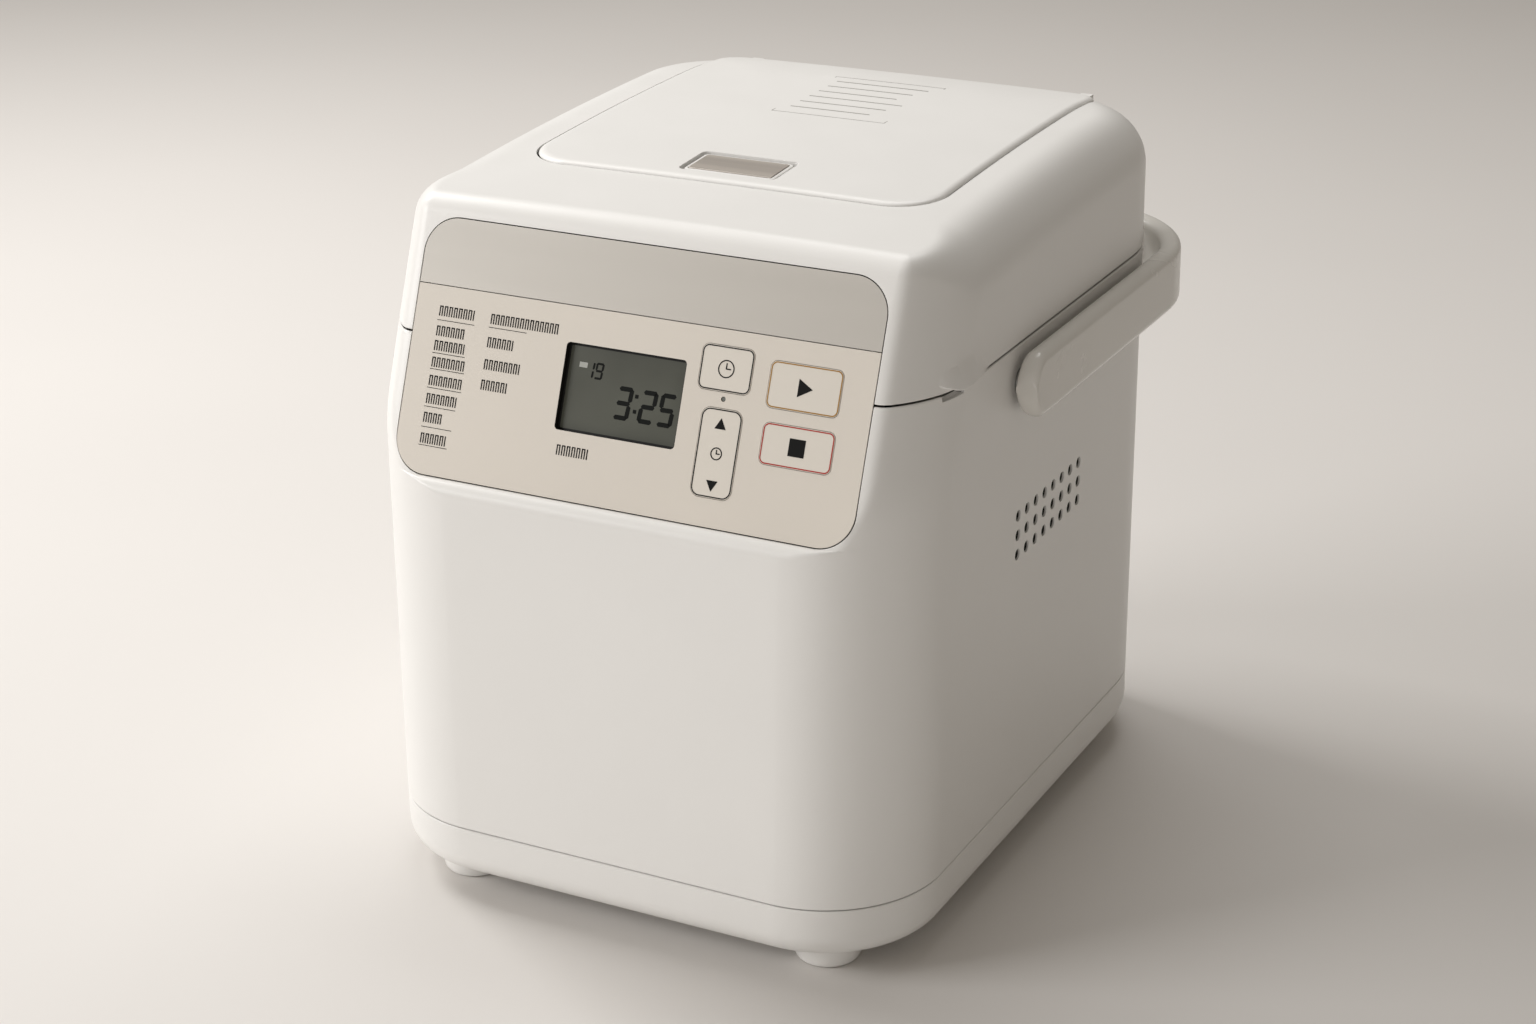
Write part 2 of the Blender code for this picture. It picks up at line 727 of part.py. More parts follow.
def grip_pocket():
    """A shallow pocket in the body's top edge under the finger tab."""
    steps = 4
    ys = [POCKET_FRONT + (POCKET_REAR - POCKET_FRONT) * k / steps for k in range(steps + 1)]
    rings = []
    for z in (LID_SEAM - POCKET_DROP, LID_SEAM + 2.0):
        outer = [(side_wall_x(y) + GRIP_BULGE, y, z) for y in ys]
        inner = [(side_wall_x(y) - POCKET_DEPTH, y, z) for y in reversed(ys)]
        rings.append(outer + inner)
    return loft(rings, True, True)


def grip_tab():
    """A finger tab: a flat facet that flares out of the right wall down to a bowed lip."""
    steps = 12
    foot = LID_SEAM + 0.2
    rings = []
    for k in range(steps + 1):
        t = k / steps
        y = GRIP_FRONT + (GRIP_REAR - GRIP_FRONT) * t
        low = foot + GRIP_LOW_RISE * max(1 - t / GRIP_LOW_SHARE, 0.0) ** 1.5
        if t < GRIP_PEAK_SHARE:
            rise = GRIP_TOP_FRONT + (GRIP_TOP_PEAK - GRIP_TOP_FRONT) * t / GRIP_PEAK_SHARE
        else:
            rise = GRIP_TOP_PEAK + (GRIP_TOP_REAR - GRIP_TOP_PEAK) * (t - GRIP_PEAK_SHARE) / (1 - GRIP_PEAK_SHARE)
        high = foot + rise
        out = GRIP_BULGE * max(math.sin(math.pi * t ** 0.85), 0.0) ** 0.8
        rings.append([(side_wall_x(y, low) - 1.9, y, low), (side_wall_x(y, low) + out - 0.4, y, low),
                      (side_wall_x(y, low) + out - 0.4, y, low + 0.7), (side_wall_x(y, high) - 0.4, y, high),
                      (side_wall_x(y, high) - 1.9, y, high)])
    return loft(rings, True, True)


def cover_outline(grow=0.0, rear_grow=0.0):
    """The top cover's outline in x and y, grown all round and grown differently at the back."""
    points = []
    half = COVER_HALF_WIDTH + grow
    front = COVER_FRONT - grow
    rear = COVER_REAR + rear_grow
    corners = [(COVER_CORNER_FRONT + grow, half, front, -90), (COVER_CORNER_REAR + grow, half, rear, 0),
               (COVER_CORNER_REAR + grow, -half, rear, 90), (COVER_CORNER_FRONT + grow, -half, front, 180)]
    for radius, x, y, start in corners:
        centre_x = x - math.copysign(radius, x)
        centre_y = y + radius if y == front else y - radius
        for k in range(7):
            angle = math.radians(start + 15 * k)
            points.append((centre_x + radius * math.cos(angle), centre_y + radius * math.sin(angle)))
    return points


def make_top_cover():
    middle_y = (COVER_FRONT + COVER_REAR) / 2
    outline = []
    points = cover_outline()
    for (x1, y1), (x2, y2) in zip(points, points[1:] + points[:1]):
        pieces = max(1, round(math.hypot(x2 - x1, y2 - y1) / 28.0))
        for k in range(pieces):
            outline.append((x1 + (x2 - x1) * k / pieces, y1 + (y2 - y1) * k / pieces))
    rings = []
    for scale, drop in ((1.0, COVER_PROUD + 0.6), (1.0, 0.8), (0.992, 0.12), (0.97, 0.0), (0.65, 0.0),
                        (0.3, 0.0)):
        ring = []
        for x, y in outline:
            px = x * scale
            py = middle_y + (y - middle_y) * scale
            ring.append((px, py, top_z(px, py) + COVER_PROUD - drop))
        rings.append(ring)
    cover = thicken(place("top_cover", loft(rings, top_cap=True), WHITE), COVER_THICKNESS)
    stirrup = box((-LATCH_HALF_X - 4.0, 101.0, STIRRUP_LOW), (LATCH_HALF_X + 4.0, 111.0, 258.4))
    join(cover, cutter(stirrup))
    pocket = rounded((-LATCH_HALF_X - LATCH_POCKET_GAP, LATCH_FRONT - LATCH_POCKET_GAP),
                     (LATCH_HALF_X + LATCH_POCKET_GAP, LATCH_REAR + LATCH_POCKET_GAP), 2.5, 3)
    cut(cover, cutter(prism(pocket, STIRRUP_LOW + STIRRUP_FLOOR, 270)))
    for x in (-COVER_ARM_X, COVER_ARM_X):
        arm = box((x - COVER_ARM_HALF, COVER_REAR - 5, COVER_AXIS_Z - 1.4),
                  (x + COVER_ARM_HALF, COVER_AXIS_Y, COVER_AXIS_Z + 1.4))
        join(cover, cutter(arm))
        join(cover, cutter(drum((x, COVER_AXIS_Y, COVER_AXIS_Z), 1.95, 2 * COVER_ARM_HALF, "X", 14)))
        cut(cover, cutter(drum((x, COVER_AXIS_Y, COVER_AXIS_Z), 1.25, 2 * COVER_ARM_HALF + 1, "X", 12)))
    hinge_line = [(x, COVER_AXIS_Y, COVER_AXIS_Z) for x in (-COVER_ROD_END, COVER_ROD_END)]
    wire("cover_hinge_rod", hinge_line, 0.9, STEEL)


def make_latch():
    """A press button with a metal face in a white cup, on a light spring in the cover's stirrup."""
    z = top_z(0, (LATCH_FRONT + LATCH_REAR) / 2) + COVER_PROUD
    outline = rounded((-LATCH_HALF_X, LATCH_FRONT), (LATCH_HALF_X, LATCH_REAR), 1.8, 3)
    middle = (0.0, (LATCH_FRONT + LATCH_REAR) / 2, z)
    face = rounded((-LATCH_HALF_X + 0.8, LATCH_FRONT + 1.4), (LATCH_HALF_X - 0.8, LATCH_REAR - 0.8), 1.2, 3)
    button = place("latch_button", prism(outline, z - LATCH_DEPTH, z - 0.4), WHITE, middle)
    cut(button, cutter(prism(face, z - 1.1, z + 5)))
    cut(button, cutter(drum((0, middle[1], z - LATCH_DEPTH), SPRING_RADIUS + 1.0, 5.0, sides=20)))
    face_inside = rounded((-LATCH_HALF_X + 1.1, LATCH_FRONT + 1.7), (LATCH_HALF_X - 1.1, LATCH_REAR - 1.1), 1.0, 3)
    place("latch_face", prism(face_inside, z - 0.8, z - 0.2), LATCH, middle)
    bottom = STIRRUP_LOW + STIRRUP_FLOOR + FIT
    top = z - 2.8
    steps = 8 * SPRING_TURNS
    coil = []
    for k in range(steps + 1):
        angle = 2 * math.pi * k / 8
        height = bottom + 0.4 + (top - bottom - 0.8) * k / steps
        coil.append((SPRING_RADIUS * math.cos(angle), middle[1] + SPRING_RADIUS * math.sin(angle), height))
    wire("latch_spring", coil, 0.3, STEEL, resolution=1)


# ---------------------------------------------------------------- control panel

def keyhole(area, corner, grow=0.0):
    u1, v1, u2, v2 = area
    return rounded((u1 - grow, v1 - grow), (u2 + grow, v2 + grow), corner + grow, 4)


def make_panel():
    beige = half_plate(0.0, STRIP_FROM - FIT / 2)
    silver = half_plate(STRIP_FROM + FIT / 2, PANEL_LENGTH)
    plate = panel_plate("panel_plate", beige, 0.0, -PANEL_THICKNESS, BEIGE)
    panel_plate("panel_strip", silver, 0.0, -PANEL_THICKNESS, SILVER)
    cut(plate, cutter(panel_prism(keyhole(DISPLAY, 1.5), -5, 5)))
    for area, corner in KEYS.values():
        cut(plate, cutter(panel_prism(keyhole(area, corner, KEY_GAP), -5, 5)))
    cut(plate, cutter(drum((*LAMP, -2), 0.9, 10, sides=12, matrix=PANEL)))
    panel_plate("display_lens", keyhole((DISPLAY[0] - 3, DISPLAY[1] - 3, DISPLAY[2] + 3, DISPLAY[3] + 3), 2),
                -PANEL_THICKNESS - FIT, -PANEL_THICKNESS - FIT - 1.0, LENS)
    lcd = place("display_module", box((DISPLAY[0] - 2, DISPLAY[1] - 2, -8.6), (DISPLAY[2] + 2, DISPLAY[3] + 2, -4.2),
                                      PANEL), LCD)
    bevel(lcd, 0.4, 1)
    place("panel_lamp", drum((*LAMP, -4.6), 0.75, 7.0, sides=12, matrix=PANEL), LCD)


def half_plate(low, high):
    """The part of the panel's rounded outline between two heights up it."""
    outline = rounded((-PANEL_HALF_WIDTH, 0.0), (PANEL_HALF_WIDTH, PANEL_LENGTH), PANEL_CORNER)
    kept = [(u, v) for u, v in outline if low <= v <= high]
    if low > 0:
        right = [(u, v) for u, v in kept if u > 0]
        left = [(u, v) for u, v in kept if u < 0]
        return [(PANEL_HALF_WIDTH, low)] + right + left + [(-PANEL_HALF_WIDTH, low)]
    right = [(u, v) for u, v in kept if u > 0]
    left = [(u, v) for u, v in kept if u < 0]
    return right + [(PANEL_HALF_WIDTH, high), (-PANEL_HALF_WIDTH, high)] + left


def make_keys():
    for name, (area, corner) in KEYS.items():
        u1, v1, u2, v2 = area
        key = panel_plate(name, keyhole(area, corner), KEY_PROUD, KEY_BACK, BEIGE)
        centre = on_panel((u1 + u2) / 2, (v1 + v2) / 2, -2.0)
        set_origin(key, centre)
    mat = panel_plate("keypad_mat", keyhole((23.5, 7.5, 81.0, 63.5), 3), MAT_FRONT, MAT_FRONT - 1.6, SILICONE)
    cut(mat, cutter(drum((*LAMP, -6), 1.4, 10, sides=12, matrix=PANEL)))
    board = panel_plate("control_board", keyhole((-60.0, 7.0, 82.0, 66.0), 2), BOARD_FRONT, BOARD_FRONT - 1.6, BOARD)
    chips = [(-52, 12, 10, 14), (-40, 40, 8, 8), (-50, 52, 6, 6), (30, 20, 12, 8), (60, 45, 10, 10)]
    for u, v, width, height in chips:
        join(board, cutter(box((u, v, BOARD_FRONT - 3.4), (u + width, v + height, BOARD_FRONT - 1.2), PANEL)))


def set_origin(obj, point):
    """Moves an object's origin to a point, leaving its shape where it is."""
    target = world(*point)
    shift = obj.matrix_world.inverted() @ target
    obj.data.transform(Matrix.Translation(-shift))
    obj.matrix_world = Matrix.Translation(target) @ obj.matrix_world.to_3x3().to_4x4()


def make_panel_cover():
    """The shell behind the panel: it closes the electronics off from the oven."""
    outline = rounded((-87.0, 4.0), (87.0, 88.0), 6.0, 3)
    rings = [[on_panel(u, v, w) for u, v in outline] for w in (-17.0, -PANEL_THICKNESS - FIT)]
    cover = thicken(place("panel_back_cover", loft(rings, bottom_cap=True), WHITE), 2.0)
    for x, y in ((-30.0, -17.0), (10.0, -17.0)):
        cut(cover, cutter(box((x, 12.0, y - 3), (x + 20.0, 18.0, y + 4), PANEL)))


# ---------------------------------------------------------------- oven, pan and drive

def chamber_outline(grow=0.0):
    return rounded((-CHAMBER_HALF_X - grow, CHAMBER_Y - CHAMBER_HALF_Y - grow),
                   (CHAMBER_HALF_X + grow, CHAMBER_Y + CHAMBER_HALF_Y + grow), CHAMBER_CORNER + grow, 4)


def pan_outline(grow=0.0):
    return rounded((-PAN_HALF_X - grow, CHAMBER_Y - PAN_HALF_Y - grow),
                   (PAN_HALF_X + grow, CHAMBER_Y + PAN_HALF_Y + grow), PAN_CORNER + grow, 4)


def make_oven():
    rings = [[(x, y, z) for x, y in chamber_outline(grow)]
             for grow, z in ((-4.0, CHAMBER_FLOOR), (0.0, CHAMBER_FLOOR + 4), (0.0, CHAMBER_TOP),
                             (6.0, CHAMBER_TOP + 0.6))]
    chamber = thicken(place("oven_chamber", loft(rings, bottom_cap=True), STEEL), 0.8)
    cut(chamber, cutter(drum((0, CHAMBER_Y, CHAMBER_FLOOR), 8.0, 8.0)))
    for x, z in ((-ELEMENT_END_X, ELEMENT_Z), (ELEMENT_END_X, ELEMENT_Z), (SENSOR_X, SENSOR_Z)):
        cut(chamber, cutter(drum((x, CHAMBER_Y - CHAMBER_HALF_Y, z), 4.2, 8.0, "Y", 16)))
    deck = inset_plan(CHAMBER_TOP - 2.0, WALL + 0.5)
    top = place("top_deck", prism(deck, CHAMBER_TOP - 3.0, CHAMBER_TOP - 1.2), WHITE)
    cut(top, cutter(prism(chamber_outline(1.2), 190, 215)))
    cut(top, cutter(box((-91.5, 0, 190), (91.5, 60.5, 215))))
    loop = rounded((-75.0, CHAMBER_Y - 82.5), (75.0, CHAMBER_Y + 82.5), 22.0, 4)
    lead = [(-ELEMENT_END_X, CHAMBER_Y - 97.0, ELEMENT_Z), (-ELEMENT_END_X, CHAMBER_Y - 89.0, ELEMENT_Z),
            (-ELEMENT_END_X - 1.5, CHAMBER_Y - 84.5, ELEMENT_Z), (-ELEMENT_END_X - 5.0, CHAMBER_Y - 82.5, ELEMENT_Z)]
    route = lead + [(x, y, ELEMENT_Z) for x, y in reversed(loop)]
    route += [(-x, y, z) for x, y, z in reversed(lead)]
    wire("heater_element", route, 3.2, STEEL, resolution=2)
    turned("temperature_sensor", [(0, 0.0), (3.0, 0.0), (3.0, -12.0), (3.8, -12.5), (3.8, -18.0), (0, -18.0)],
           (SENSOR_X, 77.0, SENSOR_Z), STEEL, 16).rotation_euler = (-math.pi / 2, 0, 0)


def make_pan():
    rings = [[(x, y, z) for x, y in pan_outline(grow)]
             for grow, z in ((-9.0, PAN_FLOOR), (-5.5, PAN_FLOOR + 0.9), (-3.6, PAN_FLOOR + 4.0),
                             (-2.5, PAN_FLOOR + 12.0), (0.0, PAN_TOP), (2.8, PAN_TOP + 0.3))]
    pan = thicken(place("bread_pan", loft(rings, bottom_cap=True), COATING), PAN_WALL, 1.0)
    cut(pan, cutter(drum((0, CHAMBER_Y, PAN_FLOOR), 6.3, 10.0)))
    for side in (-1, 1):
        lug = side * 66.05
        join(pan, cutter(box((lug - 1.95, CHAMBER_Y - 6, 184.0), (lug + 1.95, CHAMBER_Y + 6, 195.0))))
        cut(pan, cutter(drum((side * BAIL_HALF_X, CHAMBER_Y, BAIL_Z), 2.0, 12.0, "X", 12)))
    bail_rear = CHAMBER_Y + PAN_HALF_Y + 7.0
    corner_x = -BAIL_HALF_X + BAIL_CORNER
    corner_y = bail_rear - BAIL_CORNER
    route = [(-66.4, CHAMBER_Y, BAIL_Z), (-70.5, CHAMBER_Y, BAIL_Z), (-BAIL_HALF_X, CHAMBER_Y + 1.5, BAIL_Z)]
    for k in range(6):
        angle = math.radians(180 - 18 * k)
        route.append((corner_x + BAIL_CORNER * math.cos(angle), corner_y + BAIL_CORNER * math.sin(angle), BAIL_Z))
    route += [(-x, y, z) for x, y, z in reversed(route)]
    wire("pan_bail", route, 1.7, STEEL, (0, CHAMBER_Y, BAIL_Z))
    bearing = [(BEARING_BORE, PAN_FLOOR + 4.5), (8.0, PAN_FLOOR + 4.5), (8.0, PAN_FLOOR + 1.8),
               (5.9, PAN_FLOOR + 1.8), (5.9, PAN_FLOOR - 4.0), (BEARING_BORE, PAN_FLOOR - 4.0)]
    turned("pan_bearing", bearing + bearing[:1], (0, CHAMBER_Y, 0), ALUMINIUM, 16)
    rod("pan_shaft", SHAFT_RADIUS, PAN_FLOOR + 22.0, PAN_FLOOR - 6.8, (0, CHAMBER_Y, 0), 20)
    blade = place("kneading_blade", drum((0, CHAMBER_Y, PAN_FLOOR + 14.0), 8.5, 17.0, sides=24, end_radius=7.0),
                  COATING, (0, CHAMBER_Y, 0))
    fin = [[(x, CHAMBER_Y + side * width, z) for x, side, width, z in
            ((2, -1, 2.6, low), (44 - drop, -1, 1.6, low), (44 - drop, 1, 1.6, low), (2, 1, 2.6, low))]
           for low, drop in ((PAN_FLOOR + 6.0, 0), (PAN_FLOOR + 16.0, 4), (PAN_FLOOR + 24.0, 18))]
    join(blade, cutter(loft(fin, True, True)))
    cut(blade, cutter(drum((0, CHAMBER_Y, PAN_FLOOR + 10), BORE_RADIUS, 40.0, sides=20)))
    ring = [(24.0, PAN_FLOOR - FIT), (26.5, PAN_FLOOR - FIT), (26.5, CHAMBER_FLOOR + 1.1),
            (20.0, CHAMBER_FLOOR + 1.1), (20.0, CHAMBER_FLOOR + 3.0), (24.0, CHAMBER_FLOOR + 3.0)]
    turned("pan_mount_ring", ring + ring[:1], (0, CHAMBER_Y, 0), ALUMINIUM, 20)


def wing(name, low, high, twist):
    """A two-winged coupling dog on the drive's axis."""
    middle = (0, CHAMBER_Y, (low + high) / 2)
    hub = place(name, drum(middle, DOG_HUB_RADIUS, high - low, sides=20), STEEL, (0, CHAMBER_Y, 0))
    matrix = Matrix.Translation((0, CHAMBER_Y, 0)) @ Matrix.Rotation(math.radians(twist), 4, "Z")
    join(hub, cutter(box((-DOG_RADIUS, -DOG_WING_HALF, low), (DOG_RADIUS, DOG_WING_HALF, high), matrix)))
    cut(hub, cutter(drum(middle, BORE_RADIUS, 30.0, sides=20)))


def pulley(name, groove, bore, centre, steps):
    """A belt pulley with a flange at each end of its groove."""
    rim = groove + PULLEY_FLANGE
    high = PULLEY_HIGH - PULLEY_FLANGE
    low = PULLEY_LOW + PULLEY_FLANGE
    profile = [(bore, PULLEY_HIGH), (rim, PULLEY_HIGH), (rim, high), (groove, high), (groove, low), (rim, low),
               (rim, PULLEY_LOW), (bore, PULLEY_LOW), (bore, PULLEY_HIGH)]
    turned(name, profile, centre, GREY, steps)


def rod(name, radius, top, foot, centre, steps):
    turned(name, [(0, top), (radius, top), (radius, foot), (0, foot)], centre, STEEL, steps)


def make_drive():
    spindle = (0, CHAMBER_Y, 0)
    plate = place("chassis_plate", prism(rounded((-95.0, 12.0), (95.0, 255.0), 38.0, 5),
                                         PLATE_Z, PLATE_Z + PLATE_THICKNESS), STEEL)
    cut(plate, cutter(drum((0, CHAMBER_Y, PLATE_Z), 8.3, 8.0)))
    cut(plate, cutter(drum((MOTOR_X, MOTOR_Y, PLATE_Z), 9.0, 8.0)))
    under_head = PLATE_Z + PLATE_THICKNESS + FIT
    screw = [(0, under_head + 2.3), (2.6, under_head + 2.3), (3.5, under_head + 1.5), (3.5, under_head),
             (1.6, under_head), (1.6, PLATE_Z - 8.0), (0, PLATE_Z - 9.0)]
    for index, (x, y) in enumerate(POSTS):
        cut(plate, cutter(drum((x, y, PLATE_Z), SCREW_HOLE, 8.0, sides=12)))
        turned(f"chassis_screw_{index + 1}", screw, (x, y, 0), STEEL, 12)
    seat = PLATE_Z + PLATE_THICKNESS + FIT
    bearing = [(BEARING_BORE, seat + 4.6), (8.0, seat + 4.6), (8.0, seat + 2.1), (11.0, seat + 2.1), (11.0, seat),
               (8.0, seat), (8.0, PULLEY_HIGH + 1.0), (BEARING_BORE, PULLEY_HIGH + 1.0)]
    turned("shaft_bearing", bearing + bearing[:1], spindle, ALUMINIUM, 16)
    rod("drive_shaft", SHAFT_RADIUS, 60.8, SHAFT_FOOT, spindle, 20)
    pulley("drive_pulley", LARGE_PULLEY_RADIUS, BORE_RADIUS, spindle, 24)
    wing("drive_dog", 57.4, 60.6, 0)
    wing("pan_dog", 61.0, 63.4, 60)
    motor = place("motor", drum((MOTOR_X, MOTOR_Y, 80.0), MOTOR_RADIUS, 64.0, sides=24), STEEL)
    cut(motor, cutter(drum((MOTOR_X, MOTOR_Y, 52.0), MOTOR_SHAFT_RADIUS + 1.0, 30.0, sides=16)))
    bevel(motor, 2.0, 1)
    rod("motor_shaft", MOTOR_SHAFT_RADIUS, 64.0, SHAFT_FOOT, (MOTOR_X, MOTOR_Y, 0), 16)
    pulley("motor_pulley", SMALL_PULLEY_RADIUS, MOTOR_BORE_RADIUS, (MOTOR_X, MOTOR_Y, 0), 16)
    make_belt()


def make_belt():
    """An open belt round both pulleys: an outline of two arcs and two straight runs."""
    dx = -MOTOR_X
    dy = CHAMBER_Y - MOTOR_Y
    along = math.atan2(dy, dx)
    large = LARGE_PULLEY_RADIUS + BELT_CLEARANCE
    small = SMALL_PULLEY_RADIUS + BELT_CLEARANCE
    lean = math.acos((small - large) / math.hypot(dx, dy))

    def outline(grow):
        points = []
        for k in range(25):
            angle = along + lean - k * (2 * lean) / 24
            points.append(((large + grow) * math.cos(angle), CHAMBER_Y + (large + grow) * math.sin(angle)))
        for k in range(13):
            angle = along - lean - k * (2 * math.pi - 2 * lean) / 12
            points.append((MOTOR_X + (small + grow) * math.cos(angle), MOTOR_Y + (small + grow) * math.sin(angle)))
        return points
    low = PULLEY_LOW + PULLEY_FLANGE + 0.5
    high = PULLEY_HIGH - PULLEY_FLANGE - 0.5
    belt = place("drive_belt", prism(outline(BELT_THICKNESS), low, high), RUBBER)
    cut(belt, cutter(prism(outline(0.0), low - 6.0, high + 6.0)))


# ---------------------------------------------------------------- inside the lid

def make_lid_inside():
    outline = inset_plan(LID_PLATE_HIGH, WALL + 0.9)
    inner = place("lid_inner", prism(outline, LID_PLATE_LOW, LID_PLATE_HIGH), WHITE)
    hood = [(34.0, LID_PLATE_LOW), (66.0, LID_PLATE_LOW), (66.0, 251.0), (49.6, 251.0)]
    join(inner, cutter(side_prism(hood, -HOOD_HALF_X, HOOD_HALF_X)))
    cut(inner, cutter(box((-HOOD_HALF_X + HOOD_WALL, 0, 200), (HOOD_HALF_X - HOOD_WALL, 64.0, 249.2))))
    hole = rounded((-FLAP_HALF_X - FLAP_GAP, FLAP_FRONT - 3.0),
                   (FLAP_HALF_X + FLAP_GAP, FLAP_REAR + FLAP_GAP), 2.0, 2)
    cut(inner, cutter(prism(hole, 200, 220)))
    plate = rounded((-81.0, 72.0), (81.0, 248.0), 20.0, 5)
    liner = place("lid_liner", prism(plate, LINER_LOW, LINER_HIGH), ALUMINIUM)
    cut(liner, cutter(prism(hole, 200, 220)))
    seal = place("lid_seal", prism(chamber_outline(3.0), SEAL_LOW, LINER_HIGH), SILICONE)
    cut(seal, cutter(prism(chamber_outline(-2.0), 200, 220)))


def make_dispenser():
    flange = rounded((-COVER_HALF_WIDTH - 2.5, COVER_FRONT - 2.5), (COVER_HALF_WIDTH + 2.5, COVER_REAR + 2.0), 18.0)
    mouth = rounded((-46.0, 120.0), (46.0, 202.0), 10.0)
    floor = rounded((-42.0, 122.0), (42.0, 198.0), 8.0)
    hole = rounded((-31.5, 125.0), (31.5, 184.0), 2.0)
    rings = [[(x, y, z) for x, y in outline] for outline, z in
             ((hole, TRAY_LOW), (floor, TRAY_LOW), (mouth, DECK_TOP - 1.0), (flange, DECK_TOP - 1.0))]
    thicken(place("dispenser_tray", loft(rings), WHITE), 2.0, 0.0)
    flap = rounded((-FLAP_HALF_X, FLAP_FRONT), (FLAP_HALF_X, FLAP_REAR), 1.5, 2)
    flap_low = FLAP_AXIS_Z - 1.6
    place("dispenser_flap", prism(flap, flap_low, flap_low + 1.2), ALUMINIUM, (0, FLAP_FRONT, FLAP_AXIS_Z))


# ---------------------------------------------------------------- handle, inlet and fasteners

def handle_section(height_share):
    """Points round the handle's section, as (out, up) from its middle."""
    half_out = HANDLE_THICKNESS / 2
    half_up = HANDLE_HEIGHT / 2 * height_share
    corner = min(HANDLE_EDGE, half_up * 0.8)
    points = []
    for out_sign, up_sign, start in ((1, -1, -90), (1, 1, 0), (-1, 1, 90), (-1, -1, 180)):
        for k in range(3):
            angle = math.radians(start + 45 * k)
            points.append((out_sign * (half_out - corner) + corner * math.cos(angle),
                           up_sign * (half_up - corner) + corner * math.sin(angle)))
    return points


def make_handle():
    middle_x = HANDLE_OUTER - HANDLE_THICKNESS / 2
    middle_y = HANDLE_REAR - HANDLE_THICKNESS / 2
    corner = HANDLE_CORNER - HANDLE_THICKNESS / 2
    stations = []
    for k in range(1, 6):
        angle = math.pi / 2 * k / 5
        stations.append((middle_x, HANDLE_AXIS_Y - HANDLE_HEIGHT / 2 * math.cos(angle), 1.0, 0.0, math.sin(angle)))
    for k in range(1, 3):
        y = HANDLE_AXIS_Y + (middle_y - corner - HANDLE_AXIS_Y) * k / 3
        stations.append((middle_x, y, 1.0, 0.0, 1.0))
    for k in range(9):
        angle = math.pi / 2 * k / 8
        stations.append((middle_x - corner + corner * math.cos(angle), middle_y - corner + corner * math.sin(angle),
                         math.cos(angle), math.sin(angle), 1.0))
    stations.append((0.0, middle_y, 0.0, 1.0, 1.0))
    stations += [(-x, y, -nx, ny, share) for x, y, nx, ny, share in reversed(stations[:-1])]
    rings = []
    for x, y, nx, ny, share in stations:
        rings.append([(x + nx * out, y + ny * out, HANDLE_AXIS_Z + up) for out, up in handle_section(share)])
    handle = place("carry_handle", loft(rings, True, True), GREY, (0, HANDLE_AXIS_Y, HANDLE_AXIS_Z))
    pin = [(0, 116.6), (PIVOT_RADIUS, 116.6), (PIVOT_RADIUS, 106.7), (PIVOT_HEAD_RADIUS, 106.7),
           (PIVOT_HEAD_RADIUS, 104.4), (0, 104.4)]
    for name, side in (("left", -1), ("right", 1)):
        cut(handle, cutter(drum((side * 113.5, HANDLE_AXIS_Y, HANDLE_AXIS_Z), PIVOT_RADIUS + 0.4, 7.0, "X")))
        pivot = turned(f"handle_pivot_{name}", pin, (0, HANDLE_AXIS_Y, HANDLE_AXIS_Z), STEEL, 20)
        pivot.rotation_euler = (0, side * math.pi / 2, 0)


def make_inlet():
    x, y, z = INLET
    body = place("power_inlet", box((x - 14, y - 13, z - 9), (x + 14, y + 2.6, z + 9)), GREY)
    join(body, cutter(box((x - 17, y + 2.1, z - 12), (x + 17, y + 3.6, z + 12))))
    cut(body, cutter(prism_y(rounded((x - 11, z - 6), (x + 11, z + 6), 3.0, 3), y - 10, y + 10)))
    for dx in (-5.0, 5.0):
        join(body, cutter(drum((x + dx, y - 6, z), 1.3, 10.0, "Y", 12)))


def make_electrics():
    board = place("power_board", box((22.0, 48.0, 48.4), (92.0, 49.6, 122.0)), BOARD)
    blocks = [((30, 26, 54), (58, 48.4, 84)), ((66, 32, 56), (84, 48.4, 76)), ((34, 36, 94), (50, 48.4, 112)),
              ((64, 40, 90), (86, 48.4, 102))]
    for low, high in blocks:
        join(board, cutter(box(low, high)))


def make_hinge_pins():
    for side, first, _, last in hinge_spans():
        name = "hinge_pin_left" if side < 0 else "hinge_pin_right"
        place(name, barrel((first[0], last[1]), HINGE_PIN_RADIUS), STEEL)


make_base_tray()
make_feet()
make_housing()
make_lid()
make_top_cover()
make_latch()
make_panel()
make_keys()
make_panel_cover()
make_oven()
make_pan()
make_drive()
make_lid_inside()
make_dispenser()
make_handle()
make_inlet()
make_electrics()
make_hinge_pins()
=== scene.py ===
"""The looks of a compact bread machine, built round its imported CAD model.

Lengths below are in millimetres, measured as the CAD does: x to the right, y back from the
middle of the front face at the foot of the body, z up from the worktop. world() turns them
into the frame's metres.
"""
import json
import math

import bmesh
import bpy
from mathutils import Matrix, Vector

